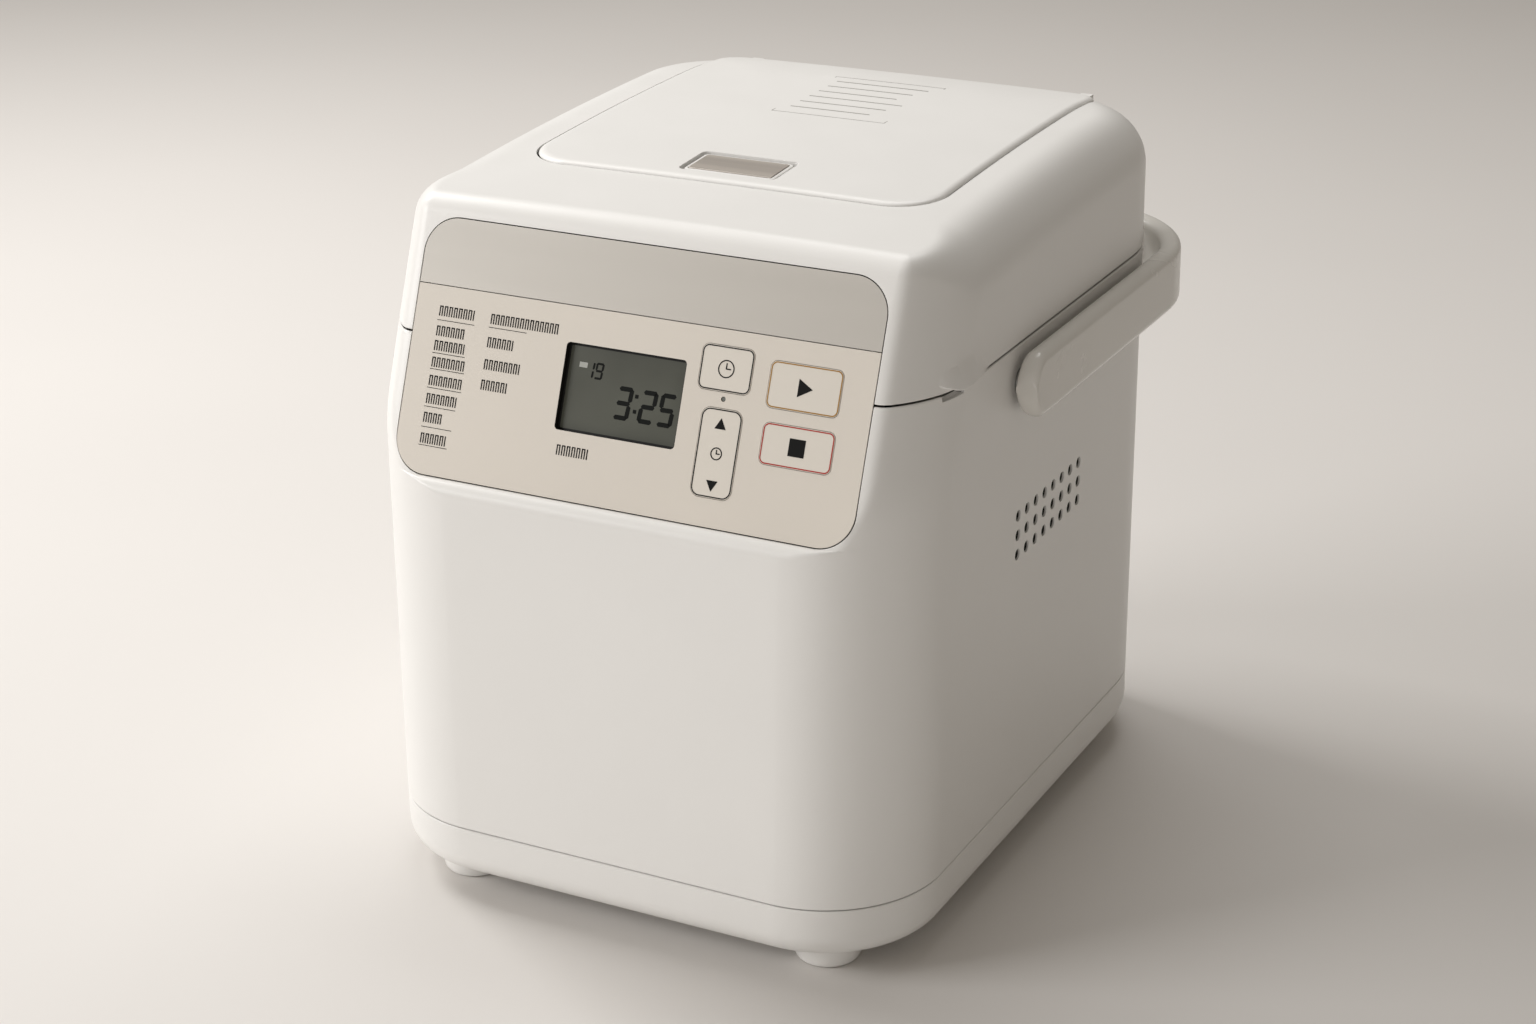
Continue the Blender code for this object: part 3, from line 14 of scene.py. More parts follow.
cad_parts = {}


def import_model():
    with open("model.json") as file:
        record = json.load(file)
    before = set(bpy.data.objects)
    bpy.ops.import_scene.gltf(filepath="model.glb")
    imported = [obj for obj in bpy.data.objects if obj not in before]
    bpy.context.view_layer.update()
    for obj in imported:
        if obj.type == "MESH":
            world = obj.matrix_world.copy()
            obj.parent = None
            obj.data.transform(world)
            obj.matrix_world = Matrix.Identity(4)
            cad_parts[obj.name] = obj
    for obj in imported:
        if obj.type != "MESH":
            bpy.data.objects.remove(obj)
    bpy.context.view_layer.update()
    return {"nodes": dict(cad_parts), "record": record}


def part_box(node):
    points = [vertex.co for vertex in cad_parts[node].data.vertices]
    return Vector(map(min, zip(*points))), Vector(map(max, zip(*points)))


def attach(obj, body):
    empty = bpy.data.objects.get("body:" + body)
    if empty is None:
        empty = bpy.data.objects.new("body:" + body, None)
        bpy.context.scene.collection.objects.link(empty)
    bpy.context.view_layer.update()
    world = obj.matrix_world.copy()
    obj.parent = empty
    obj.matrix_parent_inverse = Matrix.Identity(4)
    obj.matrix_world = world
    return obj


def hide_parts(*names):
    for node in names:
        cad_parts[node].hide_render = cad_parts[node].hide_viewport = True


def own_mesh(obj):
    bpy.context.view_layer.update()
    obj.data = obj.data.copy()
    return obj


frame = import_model()

MM = 0.001

# Body
HALF_WIDTH = 108.0
SIDE_FLARE = 0.01
BODY_DEPTH = 272.0
FRONT_LEAN = 0.03
REAR_LEAN = 0.01
BASE_SEAM = 29.0
LID_SEAM = 209.0
FRONT_RADIUS = 45.0
REAR_RADIUS = 55.0
FRONT_EDGE = 2.8
WALL = 2.5
TRAY_FLOOR = 8.0
TRAY_ROUNDING = 10.0
TRAY_ROUNDING_STEPS = 10
SEAM_EDGE = 0.6

# Cooling slots in the tray's floor
SLOT_COUNT = 5
SLOT_FIRST_X = -40.0
SLOT_PITCH = 18.0
SLOT_WIDTH = 4.0
SLOT_FRONT = 110.0
SLOT_REAR = 210.0

# Control panel
PANEL_FOOT_Y = 9.2
PANEL_FOOT_Z = 163.0
PANEL_SLOPE = 0.398
PANEL_LENGTH = 91.0
PANEL_HALF_WIDTH = 90.2
PANEL_CORNER = 13.0
PANEL_GAP = 0.4
# Width of the ring of painted shade in the gap round the panel.
GAP_SHADE_GROW = 0.3
PLATE_THICKNESS = 2.5
STRIP_FROM = 67.0
LIP_HEIGHT = 5.0
CHORD_DEPTH = 10.7
BEND_SPREAD = 3.0

# Lid and its cover
TOP_HEIGHT = 260.5
TOP_FRONT_FALL = 6.5
TOP_REAR_FALL = 6.0
TOP_CREST_Y = 215.0
TOP_FRONT_Y = 50.0
CROWN = 1.0
TOP_ROUNDING_FRONT = 6.0
TOP_ROUNDING_SIDE = 20.0
TOP_ROUNDING_REAR = 25.0
LID_AXIS = (270.5, 209.0)
KNUCKLE_RADIUS = 3.5
HINGE_X = 62.0
KNUCKLE_HALF = 8.0
KNUCKLE_CLEARANCE = 0.7
EAR_LENGTH = 8.0
PIN_HOLE = 1.9
OVERCUT = 0.1
FIT = 0.3
COVER_HALF_WIDTH = 81.0
COVER_FRONT = 89.0
COVER_REAR = 251.0
COVER_CORNER_FRONT = 18.0
COVER_CORNER_REAR = 9.0
COVER_PROUD = 1.0
COVER_GAP = 0.9
COVER_EDGE_INSET = 2.6
COVER_EDGE_DROP = 1.4
COVER_THICKNESS = 2.4
COVER_REAR_GAP = 4.7
COVER_AXIS = (253.2, 256.6)
COVER_EAR_X = 72.0
COVER_EAR_HALF = 2.5
COVER_KNUCKLE_X = 45.0
COVER_KNUCKLE_HALF = 9.0

# Latch in the cover's front edge
LATCH_AREA = ((-18.0, 97.0), (18.0, 115.0))
LATCH_CORNER = 1.8
STIRRUP_LOW = 250.4
STIRRUP_HIGH = 258.4
STIRRUP_FLOOR = 1.6
STIRRUP_FRONT = 101.0
STIRRUP_REAR = 111.0
STIRRUP_SIDE = 4.0
LATCH_GAP = 1.5
SPRING_TURNS = 3
SPRING_STEPS = 20
SPRING_RADIUS = 3.0
SPRING_WIRE = 0.3
WIRE_SIDES = 8

# Finger tab on the right of the lid, over a pocket in the body
GRIP_FRONT = 44.6
GRIP_REAR = 79.0
GRIP_BULGE = 3.6
GRIP_LOW_RISE = 3.0
GRIP_LOW_SHARE = 0.25
GRIP_TOP_FRONT = 7.4
GRIP_TOP_PEAK = 10.5
GRIP_TOP_REAR = 1.6
GRIP_PEAK_SHARE = 0.63
POCKET_FRONT = 45.5
POCKET_REAR = 57.5
POCKET_DROP = 2.4
POCKET_DEPTH = 1.7

# Handle, vents, feet, socket
HANDLE_OUTER = 120.0
HANDLE_REAR = 286.0
HANDLE_THICKNESS = 8.0
HANDLE_HEIGHT = 24.0
HANDLE_CORNER = 56.0
HANDLE_AXIS = (106.0, 195.0)
HANDLE_END_REACH = 9.5
HANDLE_EDGE = 3.4
PIVOT_HOLE = 4.9
VENT_FIRST = (108.0, 143.0)
VENT_PITCH = (8.2, 7.5)
VENT_COUNT = (8, 3)
VENT_RADIUS = 2.2
VENT_MARGIN = 5.0
VENT_PLUG_FIT = 0.08
FOOT_PROFILE = ((10.2, 0.0), (11.2, 0.5), (11.9, 1.5), (12.5, 4.0),
                (12.8, 7.0), (12.7, 7.5), (4.0, 7.7), (4.0, 13.5))
FOOT_SIDES = 40
FOOT_HOLE = 4.3
FEET = {"front_left": (-74.0, 24.0), "front_right": (74.0, 24.0),
        "rear_left": (-74.0, 242.0), "rear_right": (74.0, 242.0)}
SOCKET = (-62.0, 270.0, 52.0)
SOCKET_HALF = (14.3, 8.0, 9.3)

# Panel layout: u across, v up the panel
DISPLAY = (-27.3, 23.8, 20.0, 54.4)
TIMER_KEY = (25.1, 45.9, 45.0, 61.4)
ROCKER_KEY = (28.4, 9.9, 44.0, 40.3)
START_KEY = (51.4, 43.3, 78.4, 59.2)
CANCEL_KEY = (52.0, 24.3, 78.8, 38.5)
LAMP = (35.6, 43.5)
KEY_GAP = 0.16
KEY_BACK = -4.4
KEY_FRONT = 0.12
LCD_FRONT = -2.3
# Width of the painted shade border round the display's glass.
BORDER_SHADE_WIDTH = 0.7
PRINT = 0.06
LINE = 0.42

# Printed rows: height up the panel and length
COURSE_U = -80.4
COURSE_ROWS = ((58.0, 15.0), (50.9, 11.9), (45.7, 13.3), (39.8, 13.7),
               (33.3, 14.0), (26.8, 13.2), (20.1, 8.3), (12.7, 11.4))
COURSE_RULES = ((54.6, 15.4), (42.9, 13.5), (37.2, 14.2), (30.5, 14.2),
                (23.8, 13.0), (16.6, 12.6), (10.1, 11.8))
SHADE_U = -59.0
SHADE_ROWS = ((57.9, 28.0), (49.7, 11.4), (41.9, 15.4), (34.7, 11.2))
SHADE_RULE = (54.8, 15.5)
CYCLE_WORD = (-25.1, 17.0, 13.3)
RULE_WIDTH = 0.22
RULE_START = 0.4
STROKE = 0.45
STROKE_PITCH = 1.0
WORD_HEIGHT = 3.6

# Display figures: character, place across and up the panel, width, height and thickness
FIGURES = (("3", -6.8, 30.6, 6.3, 11.6, 1.6), ("2", 2.8, 30.6, 6.3, 11.6, 1.6),
           ("5", 10.2, 30.6, 6.3, 11.6, 1.6))
SMALL_FIGURES = (("1", -19.4, 43.0, 2.8, 5.8, 0.75), ("9", -16.2, 43.0, 3.2, 5.8, 0.75))
COLON_U = 1.0
COLON_ROWS = (33.6, 38.8)
COLON_DOT = 1.3
FLAG = (-22.4, 46.4, 3.2, 1.8)
FIGURE_SLANT = 0.08
SEGMENTS = {"1": "bc", "2": "abged", "3": "abgcd", "5": "afgcd", "9": "abcdfg"}

# Label on the cover
LABEL_LEFT = -20.5
LABEL_FRONT = 171.0
LABEL_RIGHT = 26.5
LABEL_REAR = 227.0
LABEL_LINE = 0.3
LABEL_BAR = 0.7
LABEL_ROWS = 6
LABEL_PITCH = 8.0

# Camera
CAMERA_AT = (0.4758, -0.9251, 0.5425)
CAMERA_YAW = 0.4835
CAMERA_PITCH = 0.3922
CAMERA_ROLL = -0.0162
CAMERA_LENS = 68.35

Y_MIDDLE = HANDLE_REAR / 2


# ---------------------------------------------------------------- materials

def new_material(name):
    material = bpy.data.materials.new(name)
    material.use_nodes = True
    return material, material.node_tree, material.node_tree.nodes["Principled BSDF"]


def noise(tree, scale, detail=3.0, stretch=(1.0, 1.0, 1.0)):
    """A noise texture over the model's own coordinates, in metres."""
    coordinates = tree.nodes.new("ShaderNodeTexCoord")
    mapping = tree.nodes.new("ShaderNodeMapping")
    mapping.inputs["Scale"].default_value = stretch
    texture = tree.nodes.new("ShaderNodeTexNoise")
    texture.inputs["Scale"].default_value = scale
    texture.inputs["Detail"].default_value = detail
    tree.links.new(coordinates.outputs["Object"], mapping.inputs["Vector"])
    tree.links.new(mapping.outputs["Vector"], texture.inputs["Vector"])
    return texture.outputs["Fac"]


def surface(name, colour, roughness, metallic=0.0, mottle=0.02, mottle_scale=14.0, grain=1500.0, bump=0.03,
            stretch=(1.0, 1.0, 1.0), sheen=0.05, coat=0.0, specular=0.5):
    """A material with slow colour and gloss variation and a fine surface grain."""
    material, tree, shader = new_material(name)
    ramp = tree.nodes.new("ShaderNodeValToRGB")
    ramp.color_ramp.elements[0].position = 0.3
    ramp.color_ramp.elements[1].position = 0.7
    ramp.color_ramp.elements[0].color = (*[value * (1 - mottle) for value in colour], 1.0)
    ramp.color_ramp.elements[1].color = (*[min(value * (1 + mottle), 1.0) for value in colour], 1.0)
    tree.links.new(noise(tree, mottle_scale, 2.0, stretch), ramp.inputs["Fac"])
    tree.links.new(ramp.outputs["Color"], shader.inputs["Base Color"])
    gloss = tree.nodes.new("ShaderNodeMapRange")
    gloss.inputs["To Min"].default_value = max(roughness - sheen, 0.02)
    gloss.inputs["To Max"].default_value = roughness + sheen
    tree.links.new(noise(tree, mottle_scale * 4, 3.0, stretch), gloss.inputs["Value"])
    tree.links.new(gloss.outputs["Result"], shader.inputs["Roughness"])
    if bump:
        height = tree.nodes.new("ShaderNodeBump")
        height.inputs["Strength"].default_value = bump
        height.inputs["Distance"].default_value = 0.0003
        tree.links.new(noise(tree, grain, 2.0, stretch), height.inputs["Height"])
        tree.links.new(height.outputs["Normal"], shader.inputs["Normal"])
    shader.inputs["Metallic"].default_value = metallic
    shader.inputs["Specular IOR Level"].default_value = specular
    shader.inputs["Coat Weight"].default_value = coat
    shader.inputs["Coat Roughness"].default_value = 0.08
    return material


WHITE = surface("white_plastic", (0.82, 0.81, 0.79), 0.36, mottle=0.008, bump=0.05)
WHITE_INSIDE = surface("white_plastic_inside", (0.74, 0.72, 0.69), 0.5, mottle=0.02, bump=0.08)
FILM = surface("panel_film", (0.71, 0.66, 0.59), 0.46, mottle=0.015, grain=2600.0, bump=0.06)
SILVER = surface("silver_film", (0.50, 0.475, 0.435), 0.44, 0.25, mottle=0.03, mottle_scale=60.0,
                 grain=3000.0, bump=0.04, stretch=(0.05, 1.0, 1.0))
KEY_FACE = surface("key_face", (0.73, 0.685, 0.615), 0.42, mottle=0.01, grain=2600.0, bump=0.04)
HANDLE = surface("handle_plastic", (0.70, 0.68, 0.64), 0.26, mottle=0.01, bump=0.02, coat=0.15)
LATCH = surface("latch_plate", (0.54, 0.495, 0.45), 0.4, 0.7, mottle=0.12, mottle_scale=160.0, grain=2400.0,
                bump=0.10, stretch=(0.03, 1.0, 1.0))
LENS = surface("display_window", (0.080, 0.083, 0.068), 0.3, mottle=0.2, mottle_scale=22.0, bump=0.0,
               specular=0.25)
# Near-black painted shade for the wall of the display's recess and a border round its glass.
RECESS_SHADE = surface("display_recess_shade", (0.012, 0.012, 0.011), 0.5, mottle=0.1, bump=0.0, specular=0.2)
# Near-black painted shade, put where only shade falls: behind the side vents and down in the gap round the
# control panel.
PAINTED_SHADE = surface("painted_shade", (0.010, 0.010, 0.010), 0.8, mottle=0.1, bump=0.1, specular=0.1)
LCD = surface("display_glass", (0.16, 0.17, 0.155), 0.3, mottle=0.06, bump=0.0)
SEGMENT = surface("display_segment", (0.004, 0.005, 0.004), 0.5, mottle=0.2, bump=0.0, specular=0.1)
PALE_SEGMENT = surface("pale_segment", (0.42, 0.43, 0.40), 0.5, mottle=0.05, bump=0.0)
INK = surface("panel_ink", (0.008, 0.008, 0.008), 0.6, mottle=0.15, bump=0.0, specular=0.1)
INK_SOFT = surface("soft_ink", (0.30, 0.29, 0.27), 0.5, mottle=0.08, bump=0.0)
AMBER_INK = surface("amber_ink", (0.36, 0.19, 0.04), 0.5, mottle=0.08, bump=0.0, specular=0.2)
RED_INK = surface("red_ink", (0.40, 0.03, 0.02), 0.5, mottle=0.08, bump=0.0, specular=0.2)
BOARD = surface("circuit_board", (0.03, 0.16, 0.07), 0.42, mottle=0.3, mottle_scale=300.0, bump=0.2)
STEEL = surface("steel", (0.56, 0.56, 0.55), 0.3, 1.0, mottle=0.06, mottle_scale=40.0, grain=900.0,
                bump=0.08, stretch=(1.0, 1.0, 0.05))
ALUMINIUM = surface("aluminium", (0.74, 0.74, 0.73), 0.34, 1.0, mottle=0.05, mottle_scale=40.0, grain=1200.0,
                    bump=0.08, stretch=(0.05, 1.0, 1.0))
NON_STICK = surface("non_stick", (0.055, 0.054, 0.052), 0.4, mottle=0.35, mottle_scale=700.0, grain=1600.0,
                    bump=0.2)
RUBBER = surface("rubber", (0.02, 0.02, 0.02), 0.75, mottle=0.2, mottle_scale=90.0, grain=1200.0, bump=0.3)
SILICONE = surface("silicone", (0.50, 0.49, 0.46), 0.55, mottle=0.05, bump=0.1)

SLOT_MATERIALS = {
    "white_plastic": WHITE, "panel_film": FILM, "silver_film": SILVER, "handle_plastic": HANDLE,
    "latch_plate": LATCH, "display": LENS, "display_glass": LCD, "circuit_board": BOARD, "steel": STEEL,
    "aluminium": ALUMINIUM, "non_stick": NON_STICK, "rubber": RUBBER, "silicone": SILICONE,
}
INSIDE_NODES = ("lid_inner", "dispenser_tray", "top_deck", "panel_back_cover")

# Each key: its body, its outline on the panel, the outline's corner radius and the colour of its border
KEYS = {
    "timer_button": ("timer_key", TIMER_KEY, 2.6, INK),
    "timer_rocker": ("rocker_key", ROCKER_KEY, 3.4, INK),
    "start_button": ("start_key", START_KEY, 2.4, AMBER_INK),
    "cancel_button": ("cancel_key", CANCEL_KEY, 2.4, RED_INK),
}


def dress_frame():
    """Gives every CAD node the procedural material of its slot."""
    for entry in frame["record"]["subparts"]:
        material = SLOT_MATERIALS[entry["material_slot"]]
        if entry["node"] in INSIDE_NODES:
            material = WHITE_INSIDE
        node = frame["nodes"][entry["node"]]
        for slot in node.material_slots:
            slot.link = "OBJECT"
            slot.material = material


# ---------------------------------------------------------------- making pieces

def world(x, y, z):
    return Vector((x, y - Y_MIDDLE, z)) * MM


def mesh_object(name, bm, material=None):
    """An object of a bmesh that is in millimetres."""
    bmesh.ops.remove_doubles(bm, verts=bm.verts, dist=0.002)
    for vert in bm.verts:
        vert.co = world(*vert.co)
    bmesh.ops.recalc_face_normals(bm, faces=bm.faces)
    mesh = bpy.data.meshes.new(name)
    bm.to_mesh(mesh)
    bm.free()
    obj = bpy.data.objects.new(name, mesh)
    bpy.context.scene.collection.objects.link(obj)
    if material is not None:
        mesh.materials.append(material)
    return obj


def boolean(obj, bm, operation):
    """Cuts a shape from an object, or joins it on."""
    tool = mesh_object("tool", bm)
    tool.hide_render = True
    tool.hide_viewport = True
    modifier = obj.modifiers.new("shape", "BOOLEAN")
    modifier.operation = operation
    modifier.object = tool
    modifier.solver = "EXACT"
    return tool


def cut(obj, bm):
    return boolean(obj, bm, "DIFFERENCE")


def join(obj, bm):
    return boolean(obj, bm, "UNION")


def bake(obj, sharp=30.0, edge=0.0):
    """Applies the modifiers, removes the tools, and sets which edges are sharp."""
    bpy.context.view_layer.update()
    tools = [modifier.object for modifier in obj.modifiers if modifier.type == "BOOLEAN"]
    evaluated = obj.evaluated_get(bpy.context.evaluated_depsgraph_get())
    mesh = bpy.data.meshes.new_from_object(evaluated)
    materials = list(obj.data.materials)
    obj.modifiers.clear()
    obj.data = mesh
    for tool in tools:
        bpy.data.objects.remove(tool)
    bm = bmesh.new()
    bm.from_mesh(mesh)
    bmesh.ops.remove_doubles(bm, verts=bm.verts, dist=0.000004)
    bmesh.ops.dissolve_degenerate(bm, edges=bm.edges, dist=0.000004)
    bm.to_mesh(mesh)
    bm.free()
    mesh.materials.clear()
    for material in materials:
        mesh.materials.append(material)
    for polygon in mesh.polygons:
        polygon.material_index = 0
    mesh.shade_smooth()
    mesh.set_sharp_from_angle(angle=math.radians(sharp))
    if edge:
        bevel = obj.modifiers.new("edge", "BEVEL")
        bevel.width = edge * MM
        bevel.segments = 2
        bevel.limit_method = "ANGLE"
        bevel.angle_limit = math.radians(50.0)
        bevel.harden_normals = True
    normals = obj.modifiers.new("normals", "WEIGHTED_NORMAL")
    normals.keep_sharp = True
    normals.weight = 50
    return obj


def thicken(obj, thickness):
    modifier = obj.modifiers.new("wall", "SOLIDIFY")
    modifier.thickness = thickness * MM
    modifier.offset = -1.0
    modifier.use_even_offset = True
    return obj


def settle(obj, body, *nodes):
    """Makes a piece ride on a body, in place of CAD nodes."""
    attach(obj, body)
    if nodes:
        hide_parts(*nodes)
    return obj


def box(low, high, matrix=None):
    bm = bmesh.new()
    low = Vector(low)
    high = Vector(high)
    size = Matrix.Diagonal((*(high - low), 1.0))
    place = Matrix.Translation((low + high) / 2) @ size
    bmesh.ops.create_cube(bm, size=1.0, matrix=place if matrix is None else matrix @ place)
    return bm


TURN = {"X": Matrix.Rotation(math.pi / 2, 4, "Y"), "Y": Matrix.Rotation(-math.pi / 2, 4, "X"),
        "Z": Matrix.Identity(4)}


def drum(centre, radius, length, axis="Z", sides=32, matrix=None):
    bm = bmesh.new()
    place = Matrix.Translation(centre) @ TURN[axis]
    bmesh.ops.create_cone(bm, cap_ends=True, segments=sides, radius1=radius, radius2=radius, depth=length,
                          matrix=place if matrix is None else matrix @ place)
    return bm


def loft(rings, bottom_cap=False, top_cap=False):
    bm = bmesh.new()
    loops = [[bm.verts.new(point) for point in ring] for ring in rings]
    count = len(rings[0])
    for lower, upper in zip(loops, loops[1:]):
        for i in range(count):
            j = (i + 1) % count
            bm.faces.new((lower[i], lower[j], upper[j], upper[i]))
    if bottom_cap:
        bm.faces.new(list(reversed(loops[0])))
    if top_cap:
        bm.faces.new(loops[-1])
    return bm


def circle(x, y, radius, sides):
    """Points round a circle, anticlockwise."""
    points = []
    for k in range(sides):
        angle = 2 * math.pi * k / sides
        points.append((x + radius * math.cos(angle), y + radius * math.sin(angle)))
    return points


def rounded(low, high, radius, steps=12):
    """Points round a rectangle with round corners, anticlockwise."""
    centres = [(high[0] - radius, low[1] + radius, -90), (high[0] - radius, high[1] - radius, 0),
               (low[0] + radius, high[1] - radius, 90), (low[0] + radius, low[1] + radius, 180)]
    points = []
    for x, y, start in centres:
        for k in range(steps + 1):
            angle = math.radians(start + 90 * k / steps)
            points.append((x + radius * math.cos(angle), y + radius * math.sin(angle)))
    return points


def prism(outline, low, high):
    rings = [[(x, y, z) for x, y in outline] for z in (low, high)]
    return loft(rings, True, True)


def merged(shapes):
    """One bmesh of several."""
    whole = bmesh.new()
    for shape in shapes:
        mesh = bpy.data.meshes.new("shape")
        shape.to_mesh(mesh)
        shape.free()
        whole.from_mesh(mesh)
        bpy.data.meshes.remove(mesh)
    return whole


# ---------------------------------------------------------------- the body's form

def smoothstep(low, high, value):
    t = min(max((value - low) / (high - low), 0.0), 1.0)
    return t * t * (3 - 2 * t)


def panel_y(z):
    return PANEL_FOOT_Y + (z - PANEL_FOOT_Z) * PANEL_SLOPE


def form_at(z):
    """Half width, front of the corner arcs, depth of the flat chord, and rear, at a height."""
    rise = min(max(z, BASE_SEAM), LID_SEAM) - BASE_SEAM
    half = HALF_WIDTH + SIDE_FLARE * rise
    rear = BODY_DEPTH - REAR_LEAN * rise
    lean = FRONT_LEAN * (max(z, BASE_SEAM) - BASE_SEAM)
    excess = panel_y(z) - CHORD_DEPTH - lean
    if excess > BEND_SPREAD:
        front = lean + excess
    elif excess > -BEND_SPREAD:
        front = lean + (excess + BEND_SPREAD) ** 2 / (4 * BEND_SPREAD)
    else:
        front = lean
    lip_start = PANEL_FOOT_Z - LIP_HEIGHT
    if z >= PANEL_FOOT_Z:
        chord = panel_y(z) - front
    elif z > lip_start:
        part = (z - lip_start) / LIP_HEIGHT
        full = PANEL_FOOT_Y - FRONT_LEAN * (PANEL_FOOT_Z - BASE_SEAM)
        chord = full * (1 - math.sqrt(1 - part * part))
    else:
        chord = 0.0
    return half, front, chord, rear


def plan(z, corner_steps=18, side_steps=8, end_steps=6, edge_steps=4):
    """The body's outline at a height, as (x, y, normal_x, normal_y), anticlockwise from the front."""
    half, front, chord, rear = form_at(z)
    centre_x = half - FRONT_RADIUS
    centre_y = front + FRONT_RADIUS
    meet = math.acos(1 - chord / FRONT_RADIUS)
    edge_x = centre_x + FRONT_RADIUS * math.sin(meet)
    flat_x = edge_x - FRONT_EDGE
    after = meet + FRONT_EDGE / FRONT_RADIUS
    right = []
    for k in range(end_steps + 1):
        right.append((flat_x * k / end_steps, front + chord, 0.0, -1.0))
    end = (centre_x + FRONT_RADIUS * math.sin(after), centre_y - FRONT_RADIUS * math.cos(after))
    for k in range(1, edge_steps):
        t = k / edge_steps
        x = (1 - t) ** 2 * flat_x + 2 * t * (1 - t) * edge_x + t * t * end[0]
        y = (1 - t * t) * (front + chord) + t * t * end[1]
        right.append((x, y, math.sin(after * t), -math.cos(after * t)))
    for k in range(corner_steps + 1):
        angle = after + (math.pi / 2 - after) * k / corner_steps
        right.append((centre_x + FRONT_RADIUS * math.sin(angle), centre_y - FRONT_RADIUS * math.cos(angle),
                      math.sin(angle), -math.cos(angle)))
    side_end = rear - REAR_RADIUS
    for k in range(1, side_steps):
        right.append((half, centre_y + (side_end - centre_y) * k / side_steps, 1.0, 0.0))
    for k in range(corner_steps + 1):
        angle = math.pi / 2 * k / corner_steps
        right.append((half - REAR_RADIUS + REAR_RADIUS * math.cos(angle),
                      side_end + REAR_RADIUS * math.sin(angle), math.cos(angle), math.sin(angle)))
    for k in range(1, end_steps + 1):
        right.append(((half - REAR_RADIUS) * (1 - k / end_steps), rear, 0.0, 1.0))
    left = [(-x, y, -nx, ny) for x, y, nx, ny in reversed(right[1:-1])]
    return right + left


def ring_at(z, inset=0.0):
    return [(x - nx * inset, y - ny * inset, z) for x, y, nx, ny in plan(z)]


def seam_rings(z, inwards):
    """The last rings of a wall at a seam, which round its edge. inwards is 1 going up and -1 going down."""
    rings = []
    for k in range(4):
        angle = math.pi / 2 * k / 3
        drop = inwards * SEAM_EDGE * (1 - math.sin(angle))
        rings.append(ring_at(z - drop, SEAM_EDGE * (1 - math.cos(angle))))
    return rings


def top_z(x, y):
    """Height of the lid's top face."""
    if y < TOP_CREST_Y:
        fall = TOP_FRONT_FALL * ((TOP_CREST_Y - y) / (TOP_CREST_Y - TOP_FRONT_Y)) ** 2
    else:
        fall = TOP_REAR_FALL * ((y - TOP_CREST_Y) / (BODY_DEPTH - TOP_CREST_Y)) ** 2
    return TOP_HEIGHT - fall + CROWN * (1 - (x / HALF_WIDTH) ** 2)


def top_rounding(nx, ny):
    """Radius of the lid's top edge, from the direction that the wall faces."""
    if ny > 0:
        return TOP_ROUNDING_SIDE + (TOP_ROUNDING_REAR - TOP_ROUNDING_SIDE) * ny * ny
    facing = math.degrees(math.asin(min(abs(nx), 1.0)))
    blend = smoothstep(40.0, 90.0, facing)
    return TOP_ROUNDING_FRONT + (TOP_ROUNDING_SIDE - TOP_ROUNDING_FRONT) * blend


def lid_rings(wall_low, levels=8, arc_steps=12):
    """The lid's outer skin, as rings from its lower edge to the middle of its top."""
    tops = []
    for i, (x, y, nx, ny) in enumerate(plan(LID_SEAM)):
        radius = top_rounding(nx, ny)
        z = TOP_HEIGHT
        for _ in range(8):
            px, py, _, _ = plan(z)[i]
            z = top_z(px - nx * radius, py - ny * radius)
        tops.append((z, radius))
    rings = seam_rings(wall_low, -1)[::-1]
    first = wall_low + SEAM_EDGE
    for k in range(1, levels):
        ring = []
        for i, (z_top, radius) in enumerate(tops):
            z = first + (z_top - radius - first) * k / levels
            ring.append((*plan(z)[i][:2], z))
        rings.append(ring)
    for k in range(arc_steps + 1):
        angle = math.pi / 2 * k / arc_steps
        ring = []
        for i, (z_top, radius) in enumerate(tops):
            z = z_top - radius * (1 - math.sin(angle))
            x, y, nx, ny = plan(z)[i]
            inset = radius * (1 - math.cos(angle))
            ring.append((x - nx * inset, y - ny * inset, z))
        rings.append(ring)
    edge = rings[-1]
    middle_y = (COVER_FRONT + COVER_REAR) / 2
    for k in range(1, 12):
        scale = 1 - k / 12
        ring = []
        for x, y, _ in edge:
            px = x * scale
            py = middle_y + (y - middle_y) * scale
            ring.append((px, py, top_z(px, py)))
        rings.append(ring)
    return rings


LEAN = math.atan(PANEL_SLOPE)
PANEL = Matrix(((1, 0, 0, 0),
                (0, math.sin(LEAN), -math.cos(LEAN), PANEL_FOOT_Y),
                (0, math.cos(LEAN), math.sin(LEAN), PANEL_FOOT_Z),
                (0, 0, 0, 1)))


def panel_prism(outline, low, high):
    """A solid over an outline on the panel's face, between two distances out from it."""
    rings = [[tuple(PANEL @ Vector((u, v, w))) for u, v in outline] for w in (low, high)]
    return loft(rings, True, True)


def panel_outline(grow=0.0):
    return rounded((-PANEL_HALF_WIDTH - grow, -grow), (PANEL_HALF_WIDTH + grow, PANEL_LENGTH + grow),
                   PANEL_CORNER + grow, 16)


# ---------------------------------------------------------------- casing

def barrel(start, end, radius):
    return drum(((start + end) / 2, *LID_AXIS), radius, end - start, "X", 28)


